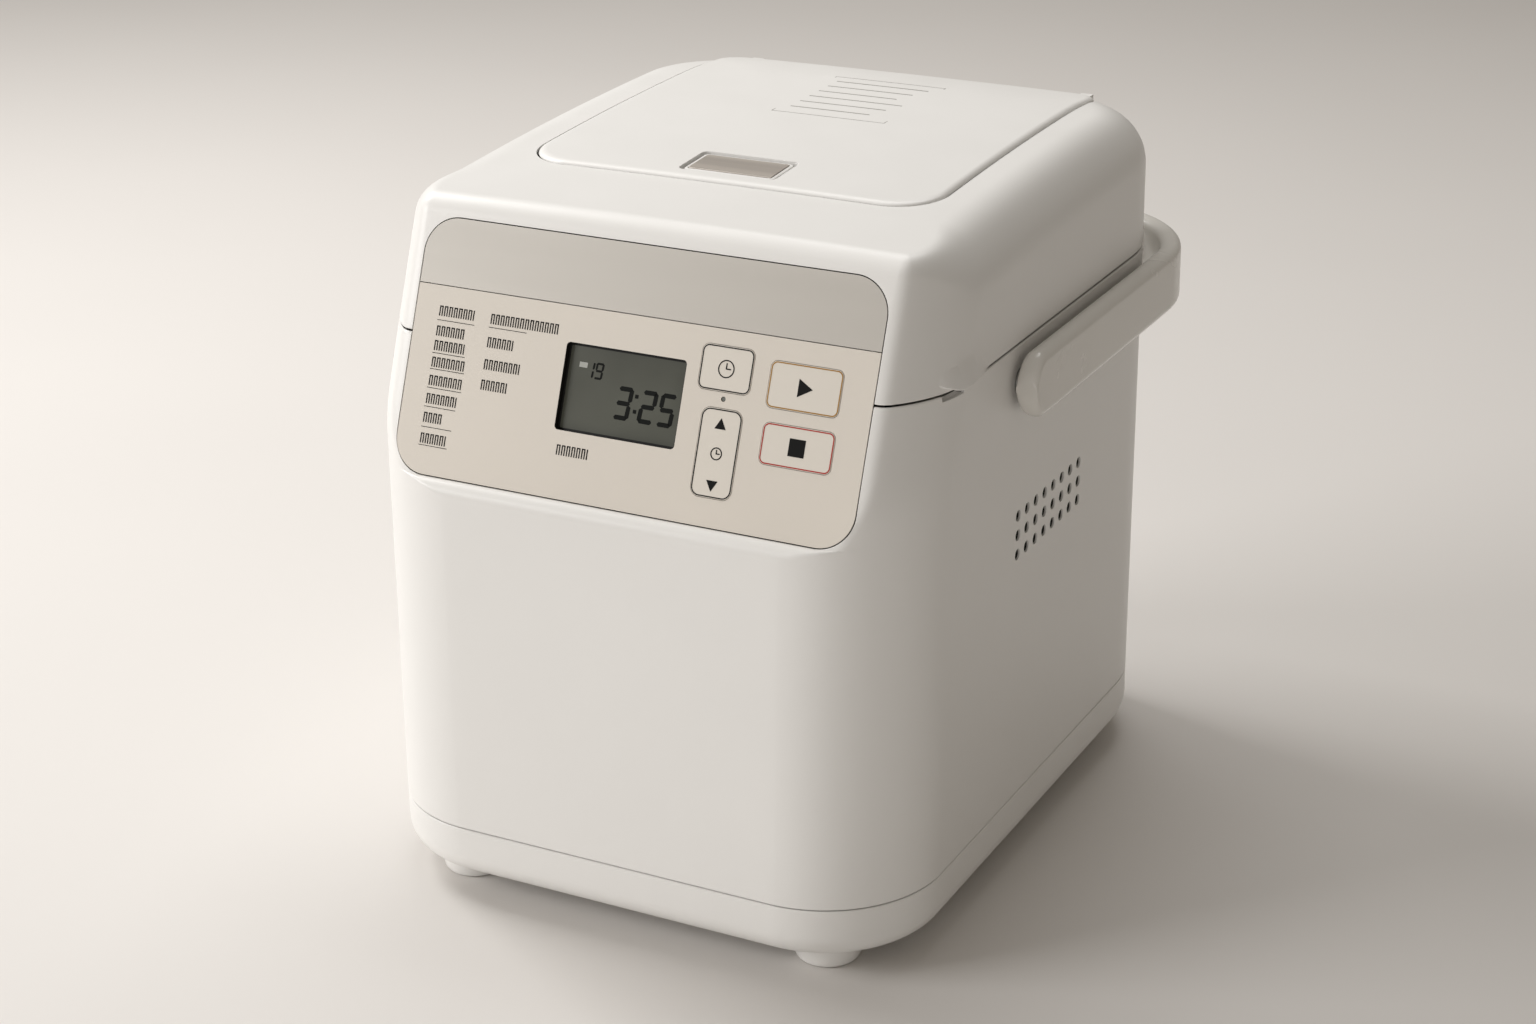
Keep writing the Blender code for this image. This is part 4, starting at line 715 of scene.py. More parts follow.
def make_tray():
    rings = []
    for k in range(TRAY_ROUNDING_STEPS + 1):
        angle = math.pi / 2 * k / TRAY_ROUNDING_STEPS
        rings.append(ring_at_seam(TRAY_FLOOR + TRAY_ROUNDING * (1 - math.cos(angle)),
                                  TRAY_ROUNDING * (1 - math.sin(angle))))
    rings += [[(x, y, z - FIT) for x, y, z in ring] for ring in seam_rings(BASE_SEAM, 1)]
    tray = thicken(mesh_object("tray_skin", loft(rings, bottom_cap=True), WHITE), WALL)
    for k in range(SLOT_COUNT):
        left = SLOT_FIRST_X + SLOT_PITCH * k
        cut(tray, box((left, SLOT_FRONT, 0), (left + SLOT_WIDTH, SLOT_REAR, 20)))
    for x, y in FEET.values():
        cut(tray, drum((x, y, TRAY_FLOOR), FOOT_HOLE, 12.0))
    settle(bake(tray), "casing", "base_tray")


def ring_at_seam(z, inset):
    """A ring of the outline at the base seam, moved in and set at another height."""
    return [(x - nx * inset, y - ny * inset, z) for x, y, nx, ny in plan(BASE_SEAM)]


def make_feet():
    for name, (x, y) in FEET.items():
        rings = [[(px, py, z) for px, py in circle(x, y, radius, FOOT_SIDES)] for radius, z in FOOT_PROFILE]
        foot = mesh_object(f"foot_skin_{name}", loft(rings, True, True), WHITE)
        settle(bake(foot), "casing", f"foot_{name}")


def side_wall_x(y, z=LID_SEAM):
    """How far out the body's side is, for a place between its front and rear arcs."""
    half, front, _, _ = form_at(z)
    before = max(front + FRONT_RADIUS - y, 0.0)
    return half - FRONT_RADIUS + math.sqrt(FRONT_RADIUS ** 2 - before ** 2)


def grip_pocket():
    """A shallow pocket in the body's top edge under the finger tab."""
    steps = 12
    ys = [POCKET_FRONT + (POCKET_REAR - POCKET_FRONT) * k / steps for k in range(steps + 1)]
    rings = []
    for z in (LID_SEAM - POCKET_DROP, LID_SEAM + 2.0):
        outer = [(side_wall_x(y) + GRIP_BULGE, y, z) for y in ys]
        inner = [(side_wall_x(y) - POCKET_DEPTH, y, z) for y in reversed(ys)]
        rings.append(outer + inner)
    return loft(rings, True, True)


def vent_holes(x, radius, depth):
    """One drum for each hole of a side vent, centred at a distance out."""
    holes = []
    for column in range(VENT_COUNT[0]):
        for row in range(VENT_COUNT[1]):
            y = VENT_FIRST[0] + column * VENT_PITCH[0]
            z = VENT_FIRST[1] - row * VENT_PITCH[1]
            holes.append(drum((x, y, z), radius, depth, "X", 20))
    return holes


def make_housing():
    heights = [60.0, 100.0, 130.0, 150.0, 158.0, 159.0, 160.0, 160.8, 161.5, 162.1, 162.5, 162.8, 163.0]
    heights += [165.0 + 2.0 * k for k in range(13)] + [195.0, 202.0]
    rings = seam_rings(BASE_SEAM, -1)[::-1] + [ring_at(z) for z in heights] + seam_rings(LID_SEAM - 0.5, 1)
    housing = thicken(mesh_object("housing_skin", loft(rings), WHITE), WALL)
    cut(housing, panel_prism(panel_outline(PANEL_GAP), -9.0, 25.0))
    for side in (-1, 1):
        cut(housing, merged(vent_holes(side * HALF_WIDTH, VENT_RADIUS, 12.0)))
        cut(housing, drum((side * HALF_WIDTH, *HANDLE_AXIS), PIVOT_HOLE, 14.0, "X"))
        middle = side * HINGE_X
        inner = KNUCKLE_HALF + FIT
        cut(housing, barrel(middle - inner, middle + inner, KNUCKLE_RADIUS + KNUCKLE_CLEARANCE))
        for start in (middle - inner - EAR_LENGTH, middle + inner):
            join(housing, barrel(start, start + EAR_LENGTH, KNUCKLE_RADIUS))
            cut(housing, barrel(start - OVERCUT, start + EAR_LENGTH + OVERCUT, PIN_HOLE))
    cut(housing, grip_pocket())
    cut(housing, box([at - half for at, half in zip(SOCKET, SOCKET_HALF)],
                     [at + half for at, half in zip(SOCKET, SOCKET_HALF)]))
    settle(bake(housing), "casing", "housing")


def make_vent_shading():
    """Dark plates of painted shade behind the side vents, with plugs that reach into the holes, so that the
    holes read as shaded.
    """
    first_y, high_z = VENT_FIRST
    last_y = first_y + (VENT_COUNT[0] - 1) * VENT_PITCH[0]
    low_z = high_z - (VENT_COUNT[1] - 1) * VENT_PITCH[1]
    for name, side in (("left", -1), ("right", 1)):
        x1, x2 = sorted((side * 105.2, side * 106.0))
        shapes = [box((x1, first_y - VENT_MARGIN, low_z - VENT_MARGIN),
                      (x2, last_y + VENT_MARGIN, high_z + VENT_MARGIN))]
        shapes += vent_holes(side * 107.2, VENT_RADIUS - VENT_PLUG_FIT, 2.2)
        shade_piece = mesh_object(f"vent_shade_{name}", merged(shapes), PAINTED_SHADE)
        settle(bake(shade_piece), "casing")


def grip_tab():
    """A finger tab: a flat facet that flares out of the right wall down to a bowed lip."""
    steps = 48
    foot = LID_SEAM + 0.2
    rings = []
    for k in range(steps + 1):
        t = k / steps
        y = GRIP_FRONT + (GRIP_REAR - GRIP_FRONT) * t
        low = foot + GRIP_LOW_RISE * max(1 - t / GRIP_LOW_SHARE, 0.0) ** 1.5
        if t < GRIP_PEAK_SHARE:
            rise = GRIP_TOP_FRONT + (GRIP_TOP_PEAK - GRIP_TOP_FRONT) * t / GRIP_PEAK_SHARE
        else:
            past = t - GRIP_PEAK_SHARE
            rise = GRIP_TOP_PEAK + (GRIP_TOP_REAR - GRIP_TOP_PEAK) * past / (1 - GRIP_PEAK_SHARE)
        high = foot + rise
        out = GRIP_BULGE * (1 - (1 - t) ** 9) * (1 - t ** 2.2)
        lip = side_wall_x(y, low) + out - 0.4
        rings.append([(side_wall_x(y, low) - 1.9, y, low), (lip - 0.3, y, low), (lip, y, low + 0.3),
                      (lip - 0.02, y, low + 0.7), (side_wall_x(y, high) - 0.4, y, high),
                      (side_wall_x(y, high) - 1.9, y, high)])
    return loft(rings, True, True)


def cover_outline(grow=0.0, rear_grow=0.0, steps=14):
    """The top cover's outline in x and y, grown all round and grown differently at the back."""
    points = []
    half = COVER_HALF_WIDTH + grow
    front = COVER_FRONT - grow
    rear = COVER_REAR + rear_grow
    corners = [(COVER_CORNER_FRONT + grow, half, front, -90), (COVER_CORNER_REAR + grow, half, rear, 0),
               (COVER_CORNER_REAR + grow, -half, rear, 90), (COVER_CORNER_FRONT + grow, -half, front, 180)]
    for radius, x, y, start in corners:
        centre_x = x - math.copysign(radius, x)
        centre_y = y + radius if y == front else y - radius
        for k in range(steps + 1):
            angle = math.radians(start + 90 * k / steps)
            points.append((centre_x + radius * math.cos(angle), centre_y + radius * math.sin(angle)))
    return points


def make_lid():
    lid = thicken(mesh_object("lid_skin", loft(lid_rings(LID_SEAM + 0.2), top_cap=True), WHITE), WALL)
    cut(lid, panel_prism(panel_outline(PANEL_GAP), -9.0, 25.0))
    cut(lid, prism(cover_outline(COVER_GAP, COVER_REAR_GAP), 235.0, 275.0))
    join(lid, grip_tab())
    for side in (-1, 1):
        middle = side * COVER_EAR_X
        join(lid, box((middle - COVER_EAR_HALF, COVER_AXIS[0] - 2.2, COVER_AXIS[1] - 2.0),
                      (middle + COVER_EAR_HALF, 260.0, COVER_AXIS[1] + 0.6)))
        cut(lid, drum((middle, *COVER_AXIS), 1.2, 5.2, "X", 16))
        middle = side * HINGE_X
        inner = KNUCKLE_HALF + FIT
        for start in (middle - inner - EAR_LENGTH, middle + inner):
            cut(lid, barrel(start - FIT, start + EAR_LENGTH + FIT, KNUCKLE_RADIUS + KNUCKLE_CLEARANCE))
        join(lid, barrel(middle - KNUCKLE_HALF, middle + KNUCKLE_HALF, KNUCKLE_RADIUS))
        join(lid, box((middle - KNUCKLE_HALF, 267.9, LID_AXIS[1] + 0.8),
                      (middle + KNUCKLE_HALF, 271.0, LID_AXIS[1] + 6)))
        cut(lid, barrel(middle - KNUCKLE_HALF - OVERCUT, middle + KNUCKLE_HALF + OVERCUT, PIN_HOLE))
    settle(bake(lid), "lid", "lid_outer")


def make_top_cover():
    """The cover's soft-edged skin, with a stirrup under the latch and knuckles at the back."""
    middle_y = (COVER_FRONT + COVER_REAR) / 2
    outline = []
    points = cover_outline()
    for (x1, y1), (x2, y2) in zip(points, points[1:] + points[:1]):
        pieces = max(1, round(math.hypot(x2 - x1, y2 - y1) / 12.0))
        for k in range(pieces):
            outline.append((x1 + (x2 - x1) * k / pieces, y1 + (y2 - y1) * k / pieces))
    edge_profile = [(0.0, COVER_PROUD + 0.6), (0.0, COVER_EDGE_DROP)]
    for k in range(1, 7):
        angle = math.pi / 2 * k / 6
        edge_profile.append((COVER_EDGE_INSET * (1 - math.cos(angle)),
                             COVER_EDGE_DROP * (1 - math.sin(angle))))
    rings = []
    for inset, drop in edge_profile:
        scale = 1 - inset / COVER_HALF_WIDTH
        rings.append([(x * scale, middle_y + (y - middle_y) * scale, drop) for x, y in outline])
    base = 1 - COVER_EDGE_INSET / COVER_HALF_WIDTH
    for k in range(1, 12):
        scale = base * (1 - k / 12)
        rings.append([(x * scale, middle_y + (y - middle_y) * scale, 0.0) for x, y in outline])
    rings = [[(x, y, top_z(x, y) + COVER_PROUD - drop) for x, y, drop in ring] for ring in rings]
    cover = thicken(mesh_object("cover_skin", loft(rings, top_cap=True), WHITE), COVER_THICKNESS)
    low, high = LATCH_AREA
    join(cover, box((low[0] - STIRRUP_SIDE, STIRRUP_FRONT, STIRRUP_LOW),
                    (high[0] + STIRRUP_SIDE, STIRRUP_REAR, STIRRUP_HIGH)))
    hole = rounded((low[0] - LATCH_GAP, low[1] - LATCH_GAP), (high[0] + LATCH_GAP, high[1] + LATCH_GAP), 2.5)
    cut(cover, prism(hole, STIRRUP_LOW + STIRRUP_FLOOR, 270))
    for x in (-COVER_KNUCKLE_X, COVER_KNUCKLE_X):
        join(cover, box((x - COVER_KNUCKLE_HALF, COVER_REAR - 5, COVER_AXIS[1] - 1.4),
                        (x + COVER_KNUCKLE_HALF, COVER_AXIS[0], COVER_AXIS[1] + 1.4)))
        join(cover, drum((x, *COVER_AXIS), 1.95, 2 * COVER_KNUCKLE_HALF, "X", 24))
        cut(cover, drum((x, *COVER_AXIS), 1.25, 2 * COVER_KNUCKLE_HALF + 1, "X", 16))
    settle(bake(cover), "cover", "top_cover")


def latch_rings(profile, corner, least_corner):
    """Rings of the latch's outline, each moved in and down, on the slope of the lid's top."""
    (x1, y1), (x2, y2) = LATCH_AREA
    middle_y = (y1 + y2) / 2
    z = top_z(0, middle_y) + COVER_PROUD
    slope = (top_z(0, y2) - top_z(0, y1)) / (y2 - y1)
    tilt = Matrix.Translation((0, middle_y, z)) @ Matrix.Rotation(math.atan(slope), 4, "X")
    tilt = tilt @ Matrix.Translation((0, -middle_y, -z))
    rings = []
    for inset, drop in profile:
        radius = max(corner - inset, least_corner)
        ring = rounded((x1 + inset, y1 + inset), (x2 - inset, y2 - inset), radius)
        rings.append([tuple(tilt @ Vector((x, y, z - drop))) for x, y in ring])
    return rings


def make_latch():
    """A white press button with a brushed plate let into it."""
    middle_y = (LATCH_AREA[0][1] + LATCH_AREA[1][1]) / 2
    z = top_z(0, middle_y) + COVER_PROUD
    button_profile = ((0.0, 5.0), (0.0, 0.9), (0.12, 0.62), (0.5, 0.45),
                      (1.0, 0.45), (1.15, 0.5), (1.2, 1.1))
    rings = latch_rings(button_profile, LATCH_CORNER, 0.8)
    button = mesh_object("latch_button_skin", loft(rings, True, True), WHITE)
    cut(button, drum((0, middle_y, z - 5), 4.0, 5.0))
    settle(bake(button), "latch", "latch_button")
    plate_profile = ((1.4, 0.85), (1.4, 0.32), (1.5, 0.22), (1.65, 0.18))
    rings = latch_rings(plate_profile, 0.0, 1.0)
    plate = mesh_object("latch_plate", loft(rings, True, True), LATCH)
    settle(bake(plate), "latch", "latch_face")


def make_latch_spring():
    """The latch's coil spring, as tall as the CAD spring that it stands in for."""
    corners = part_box("latch_spring")
    low = corners[0][2] / MM
    high = corners[1][2] / MM
    y = (LATCH_AREA[0][1] + LATCH_AREA[1][1]) / 2
    rise = high - low - 2 * SPRING_WIRE
    steps = SPRING_TURNS * SPRING_STEPS
    rings = []
    for k in range(steps + 1):
        turn = math.tau * k / SPRING_STEPS
        middle = low + SPRING_WIRE + rise * k / steps
        ring = []
        for i in range(WIRE_SIDES):
            angle = math.tau * i / WIRE_SIDES
            reach = SPRING_RADIUS + SPRING_WIRE * math.cos(angle)
            z = middle + SPRING_WIRE * math.sin(angle)
            ring.append((reach * math.cos(turn), y + reach * math.sin(turn), z))
        rings.append(ring)
    spring = mesh_object("coil_spring", loft(rings, True, True), STEEL)
    settle(bake(spring), "cover", "latch_spring")
    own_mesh(spring)


# ---------------------------------------------------------------- control panel

def half_plate(low, high):
    """The part of the panel's rounded outline between two heights up it."""
    kept = [(u, v) for u, v in panel_outline() if low <= v <= high]
    right = [(u, v) for u, v in kept if u > 0]
    left = [(u, v) for u, v in kept if u < 0]
    if low > 0:
        return [(PANEL_HALF_WIDTH, low)] + right + left + [(-PANEL_HALF_WIDTH, low)]
    return right + [(PANEL_HALF_WIDTH, high), (-PANEL_HALF_WIDTH, high)] + left


def keyhole(area, corner, grow=0.0):
    u1, v1, u2, v2 = area
    return rounded((u1 - grow, v1 - grow), (u2 + grow, v2 + grow), corner + grow)


def soft_plate(outline, back, front, edge):
    """A plate on the panel with a rounded front edge."""
    middle_u = (min(u for u, v in outline) + max(u for u, v in outline)) / 2
    middle_v = (min(v for u, v in outline) + max(v for u, v in outline)) / 2
    half = min(max(u for u, v in outline) - middle_u, max(v for u, v in outline) - middle_v)
    rings = []
    for k in range(-1, 5):
        angle = math.pi / 2 * max(k, 0) / 4
        inset = edge * (1 - math.cos(angle))
        w = back if k < 0 else front - edge * (1 - math.sin(angle))
        ring = []
        for u, v in outline:
            du = u - middle_u
            dv = v - middle_v
            reach = max(abs(du), abs(dv), half)
            ring.append(tuple(PANEL @ Vector((middle_u + du * (1 - inset / reach),
                                              middle_v + dv * (1 - inset / reach), w))))
        rings.append(ring)
    return loft(rings, True, True)


def outline_band(outline, inner, low, high):
    """A printed ring between two outlines with as many points."""
    bm = bmesh.new()
    rings = []
    for points, w in ((outline, low), (outline, high), (inner, high), (inner, low)):
        rings.append([bm.verts.new(PANEL @ Vector((u, v, w))) for u, v in points])
    count = len(outline)
    for a, b in zip(rings, rings[1:] + rings[:1]):
        for i in range(count):
            j = (i + 1) % count
            bm.faces.new((a[i], a[j], b[j], b[i]))
    return bm


def flat_plate(outline):
    return panel_prism(outline, -PLATE_THICKNESS, 0.0)


def make_panel():
    """The champagne plate with its openings, the silver strip above it, and a dark ring of painted shade in
    the gap round both.
    """
    beige = mesh_object("panel_film_plate", flat_plate(half_plate(0.0, STRIP_FROM - FIT / 2)), FILM)
    cut(beige, panel_prism(keyhole(DISPLAY, 1.5), -5, 5))
    for _, area, corner, _ in KEYS.values():
        cut(beige, panel_prism(keyhole(area, corner, KEY_GAP), -5, 5))
    cut(beige, drum((*LAMP, -2), 0.9, 10, sides=20, matrix=PANEL))
    settle(bake(beige), "casing", "panel_plate")
    strip = flat_plate(half_plate(STRIP_FROM + FIT / 2, PANEL_LENGTH))
    settle(bake(mesh_object("panel_strip_plate", strip, SILVER)), "casing", "panel_strip")
    # A near-black ring of painted shade sunk in the gap round the panel, where the groove falls into shadow.
    ring_of_shade = outline_band(panel_outline(GAP_SHADE_GROW), panel_outline(), -2.4, -0.5)
    settle(bake(mesh_object("panel_gap_shade", ring_of_shade, PAINTED_SHADE)), "casing")


def printed(shapes, name, material, body):
    """Ink on the panel: thin shapes a little proud of what they are printed on."""
    piece = mesh_object(name, merged(shapes), material)
    piece.data.shade_flat()
    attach(piece, body)
    return piece


def bar(u, v, width, height, base=0.0):
    corners = [(u, v), (u + width, v), (u + width, v + height), (u, v + height)]
    return panel_prism(corners, base, base + PRINT)


def triangle(u, v, size, turn, base):
    """A triangle that points up, right or down by its turn in degrees."""
    points = []
    for k in range(3):
        angle = math.radians(90 - turn + 120 * k)
        points.append((u + size * math.cos(angle), v + size * math.sin(angle)))
    return panel_prism(points, base, base + PRINT)


def circle_line(u, v, radius, base, width=LINE):
    return outline_band(circle(u, v, radius, 28), circle(u, v, radius - width, 28), base, base + PRINT)


def make_keys():
    marks = {
        "timer_button": clock(35.05, 53.65),
        "timer_rocker": [triangle(36.2, 34.6, 2.5, 0, KEY_FRONT), triangle(36.2, 14.6, 2.5, 180, KEY_FRONT)]
        + clock(36.2, 25.0, 2.2),
        "start_button": [triangle(64.3, 51.25, 3.6, 90, KEY_FRONT)],
        "cancel_button": [bar(62.4, 28.4, 6.0, 6.0, KEY_FRONT)],
    }
    for node, (body, area, corner, ink) in KEYS.items():
        cap = soft_plate(keyhole(area, corner), KEY_BACK, KEY_FRONT, 0.25)
        settle(bake(mesh_object(f"{node}_cap", cap, KEY_FACE)), body, node)
        ring = outline_band(keyhole(area, corner, -0.25), keyhole(area, corner, -0.25 - LINE), KEY_FRONT,
                            KEY_FRONT + PRINT)
        printed([ring], f"{node}_outline", ink, body)
        printed(marks[node], f"{node}_mark", INK, body)


def clock(u, v, radius=3.1):
    """A clock face: a ring with two hands."""
    half = LINE / 2
    return [circle_line(u, v, radius, KEY_FRONT),
            bar(u - half, v - half, LINE, radius * 0.72, KEY_FRONT),
            bar(u + half, v - half, radius * 0.5, LINE, KEY_FRONT)]


def digit(character, u, v, width, height, thick, base):
    """A seven-segment figure whose lower left corner is at u, v."""
    gap = thick * 0.18
    middle = v + height / 2
    half = height / 2
    places = {
        "a": (u + gap, v + height - thick, width - 2 * gap, thick, True),
        "g": (u + gap, middle - thick / 2, width - 2 * gap, thick, True),
        "d": (u + gap, v, width - 2 * gap, thick, True),
        "f": (u, middle + gap, thick, half - 2 * gap, False),
        "b": (u + width - thick, middle + gap, thick, half - 2 * gap, False),
        "e": (u, v + gap, thick, half - 2 * gap, False),
        "c": (u + width - thick, v + gap, thick, half - 2 * gap, False),
    }
    shapes = []
    for segment in SEGMENTS[character]:
        a, b, w, h, flat = places[segment]
        tip = min(w, h) / 2
        if flat:
            points = [(a + tip * 0.3, b + tip), (a + tip, b), (a + w - tip, b), (a + w - tip * 0.3, b + tip),
                      (a + w - tip, b + h), (a + tip, b + h)]
        else:
            points = [(a + tip, b + tip * 0.3), (a + w, b + tip), (a + w, b + h - tip),
                      (a + tip, b + h - tip * 0.3), (a, b + h - tip), (a, b + tip)]
        slant = [(p + (q - v) * FIGURE_SLANT, q) for p, q in points]
        shapes.append(panel_prism(slant, base, base + PRINT))
    return shapes


def make_display():
    """The display set back in the panel, with a wall and border of painted shade round it, and seven-segment
    figures.
    """
    face = soft_plate(keyhole(DISPLAY, 1.5, -0.15), -3.7, LCD_FRONT, 0.2)
    settle(bake(mesh_object("display_face", face, LENS)), "casing", "display_lens")
    # The recess wall and a border on the glass are painted near-black as shade, for the shadow inside the
    # recess.
    wall = outline_band(keyhole(DISPLAY, 1.5, -0.02), keyhole(DISPLAY, 1.5, -0.14), LCD_FRONT - 1.0, -0.05)
    settle(bake(mesh_object("display_wall_shade", wall, RECESS_SHADE)), "casing")
    shadow = outline_band(keyhole(DISPLAY, 1.5, -0.16), keyhole(DISPLAY, 1.5, -0.16 - BORDER_SHADE_WIDTH), LCD_FRONT,
                          LCD_FRONT + PRINT)
    settle(bake(mesh_object("display_border_shade", shadow, RECESS_SHADE)), "casing")
    shapes = []
    for figure in FIGURES:
        shapes += digit(*figure, LCD_FRONT)
    for v in COLON_ROWS:
        shapes.append(bar(COLON_U, v, COLON_DOT, COLON_DOT, LCD_FRONT))
    for figure in SMALL_FIGURES:
        shapes += digit(*figure, LCD_FRONT)
    printed(shapes, "display_figures", SEGMENT, "casing")
    printed([bar(*FLAG, LCD_FRONT)], "display_flag", PALE_SEGMENT, "casing")


def word(u, v, length):
    """A stand-in for a printed word: a squared wave of thin strokes, as tall as its capitals."""
    shapes = []
    count = max(2, round(length / STROKE_PITCH))
    for k in range(count):
        left = u + k * STROKE_PITCH
        shapes.append(bar(left, v - WORD_HEIGHT / 2, STROKE, WORD_HEIGHT))
        if k + 1 < count and k % 2 == 0:
            shapes.append(bar(left + STROKE, v + WORD_HEIGHT / 2 - STROKE, STROKE_PITCH - STROKE, STROKE))
    return shapes


def make_print():
    """The panel's lists, with plain marks where the real one has words."""
    dark = []
    for v, length in COURSE_ROWS:
        dark += word(COURSE_U, v, length)
    for v, length in COURSE_RULES:
        dark.append(bar(COURSE_U - RULE_START, v, length, RULE_WIDTH))
    for v, length in SHADE_ROWS:
        dark += word(SHADE_U, v, length)
    dark.append(bar(SHADE_U - RULE_START, SHADE_RULE[0], SHADE_RULE[1], RULE_WIDTH))
    dark += word(*CYCLE_WORD)
    printed(dark, "panel_print", INK, "casing")
    lamp = drum((*LAMP, -2.1), 0.7, 3.6, sides=20, matrix=PANEL)
    settle(bake(mesh_object("lamp_lens", lamp, LCD)), "casing", "panel_lamp")


def make_label():
    """A plain outlined patch on the cover, with soft bars."""
    def on_top(outline, lift):
        return [(x, y, top_z(x, y) + COVER_PROUD + lift) for x, y in outline]

    def strip(x1, y1, x2, y2):
        front_edge = [(x1 + (x2 - x1) * k / 6, y1) for k in range(7)]
        rear_edge = [(x2 - (x2 - x1) * k / 6, y2) for k in range(7)]
        outline = front_edge + rear_edge
        return loft([on_top(outline, -0.05), on_top(outline, 0.05)], True, True)

    inner_left = LABEL_LEFT + LABEL_LINE
    inner_right = LABEL_RIGHT - LABEL_LINE
    inner_front = LABEL_FRONT + LABEL_LINE
    inner_rear = LABEL_REAR - LABEL_LINE
    shapes = [strip(LABEL_LEFT, LABEL_FRONT, LABEL_RIGHT, inner_front),
              strip(LABEL_LEFT, inner_rear, LABEL_RIGHT, LABEL_REAR),
              strip(LABEL_LEFT, inner_front, inner_left, inner_rear),
              strip(inner_right, inner_front, LABEL_RIGHT, inner_rear)]
    for row in range(LABEL_ROWS):
        y = LABEL_REAR - LABEL_PITCH - row * LABEL_PITCH
        shapes.append(strip(LABEL_LEFT + 4.0, y, LABEL_RIGHT - 4.0 - 3.0 * (row % 3), y + LABEL_BAR))
    piece = mesh_object("cover_label", merged(shapes), INK_SOFT)
    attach(piece, "cover")


# ---------------------------------------------------------------- handle and socket

def handle_section(height_share, steps=6):
    """Points round the handle's section, as (out, up) from its middle."""
    half_out = HANDLE_THICKNESS / 2
    half_up = HANDLE_HEIGHT / 2 * height_share
    corner = min(HANDLE_EDGE, half_up * 0.8)
    points = []
    for out_sign, up_sign, start in ((1, -1, -90), (1, 1, 0), (-1, 1, 90), (-1, -1, 180)):
        for k in range(steps + 1):
            angle = math.radians(start + 90 * k / steps)
            points.append((out_sign * (half_out - corner) + corner * math.cos(angle),
                           up_sign * (half_up - corner) + corner * math.sin(angle)))
    return points


def make_handle():
    """The handle's bar, swept round the back from one rounded end to the other."""
    middle_x = HANDLE_OUTER - HANDLE_THICKNESS / 2
    middle_y = HANDLE_REAR - HANDLE_THICKNESS / 2
    corner = HANDLE_CORNER - HANDLE_THICKNESS / 2
    axis_y, axis_z = HANDLE_AXIS
    stations = []
    for k in range(1, 17):
        angle = math.pi / 2 * k / 16
        stations.append((middle_x, axis_y - HANDLE_END_REACH * math.cos(angle), 1.0, 0.0, math.sin(angle)))
    for k in range(1, 6):
        stations.append((middle_x, axis_y + (middle_y - corner - axis_y) * k / 6, 1.0, 0.0, 1.0))
    for k in range(25):
        angle = math.pi / 2 * k / 24
        stations.append((middle_x - corner + corner * math.cos(angle),
                         middle_y - corner + corner * math.sin(angle),
                         math.cos(angle), math.sin(angle), 1.0))
    stations.append((0.0, middle_y, 0.0, 1.0, 1.0))
    stations += [(-x, y, -nx, ny, share) for x, y, nx, ny, share in reversed(stations[:-1])]
    rings = []
    for x, y, nx, ny, share in stations:
        rings.append([(x + nx * out, y + ny * out, axis_z + up) for out, up in handle_section(share)])
    handle = mesh_object("handle_skin", loft(rings, True, True), HANDLE)
    for side in (-1, 1):
        cut(handle, drum((side * 113.5, axis_y, axis_z), PIVOT_HOLE, 7.0, "X"))
    settle(bake(handle), "handle", "carry_handle")


# ---------------------------------------------------------------- stage

def area_light(name, at, size, energy, colour=(1.0, 1.0, 1.0), aim=(0.0, 0.0, 0.13)):
    light = bpy.data.lights.new(name, "AREA")
    light.shape = "RECTANGLE"
    light.size = size[0]
    light.size_y = size[1]
    light.energy = energy
    light.color = colour
    obj = bpy.data.objects.new(name, light)
    obj.location = at
    obj.rotation_euler = (Vector(aim) - Vector(at)).to_track_quat("-Z", "Y").to_euler()
    bpy.context.scene.collection.objects.link(obj)
    return obj


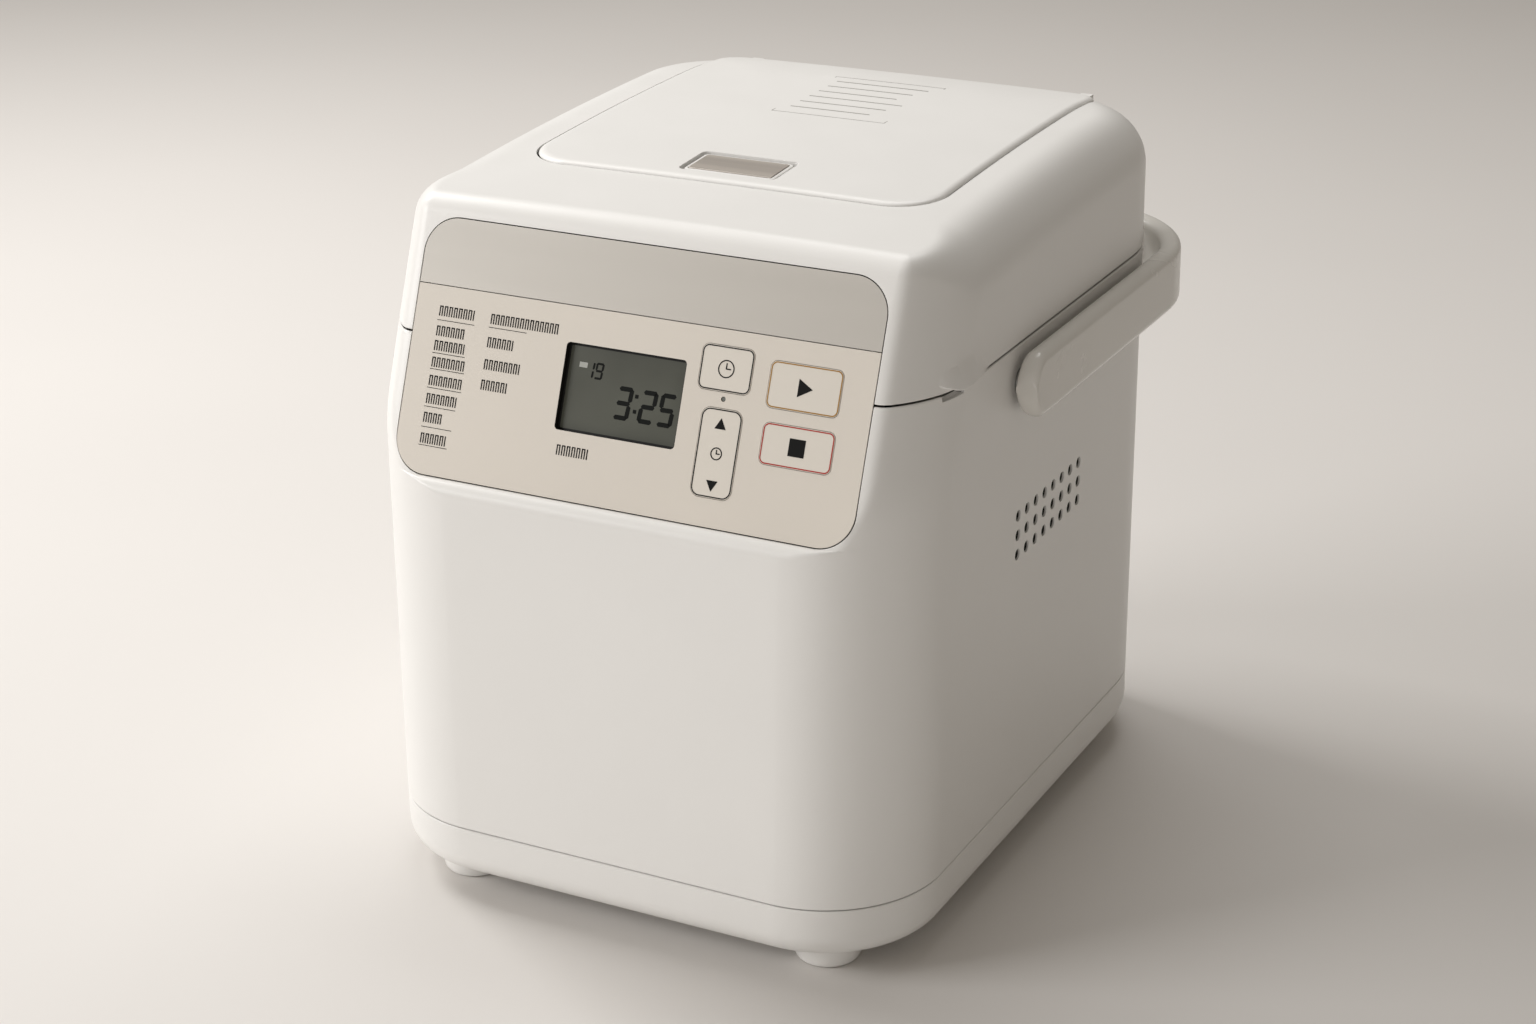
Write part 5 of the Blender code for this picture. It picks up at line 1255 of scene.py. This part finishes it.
def make_stage():
    floor_material = surface("floor", (0.73, 0.705, 0.68), 0.6, mottle=0.012, mottle_scale=1.4, grain=500.0,
                             bump=0.02)
    bm = bmesh.new()
    bmesh.ops.create_grid(bm, x_segments=2, y_segments=2, size=6.0)
    mesh = bpy.data.meshes.new("floor")
    bm.to_mesh(mesh)
    bm.free()
    mesh.materials.append(floor_material)
    floor = bpy.data.objects.new("floor", mesh)
    bpy.context.scene.collection.objects.link(floor)
    studio = bpy.data.worlds.new("studio")
    studio.use_nodes = True
    background = studio.node_tree.nodes["Background"]
    background.inputs["Color"].default_value = (1.0, 0.91, 0.79, 1.0)
    background.inputs["Strength"].default_value = 0.235
    bpy.context.scene.world = studio
    area_light("key", (-1.15, 0.20, 1.25), (0.6, 0.6), 14.0, (1.0, 0.99, 0.975))
    area_light("front", (-2.1, -1.65, 1.2), (1.3, 1.1), 40.0, (1.0, 0.99, 0.985))
    area_light("fill", (0.2, -2.4, 0.45), (1.0, 0.5), 7.0, (1.0, 0.99, 0.98))
    area_light("top", (-0.2, 0.6, 1.6), (1.0, 0.8), 8.0)
    bpy.context.scene.view_settings.view_transform = "Standard"


def make_camera():
    data = bpy.data.cameras.new("camera")
    data.lens = CAMERA_LENS
    data.sensor_width = 36.0
    data.clip_start = 0.01
    camera = bpy.data.objects.new("camera", data)
    right = Vector((math.cos(CAMERA_YAW), math.sin(CAMERA_YAW), 0.0))
    back = Vector((math.sin(CAMERA_YAW) * math.cos(CAMERA_PITCH),
                   -math.cos(CAMERA_YAW) * math.cos(CAMERA_PITCH),
                   math.sin(CAMERA_PITCH)))
    up = back.cross(right)
    across = right * math.cos(CAMERA_ROLL) + up * math.sin(CAMERA_ROLL)
    above = up * math.cos(CAMERA_ROLL) - right * math.sin(CAMERA_ROLL)
    turn = Matrix((across, above, back)).transposed().to_4x4()
    camera.matrix_world = Matrix.Translation(CAMERA_AT) @ turn
    bpy.context.scene.collection.objects.link(camera)
    bpy.context.scene.camera = camera


dress_frame()
make_tray()
make_feet()
make_housing()
make_vent_shading()
make_lid()
make_top_cover()
make_latch()
make_latch_spring()
make_panel()
make_keys()
make_display()
make_print()
make_label()
make_handle()
make_stage()
make_camera()
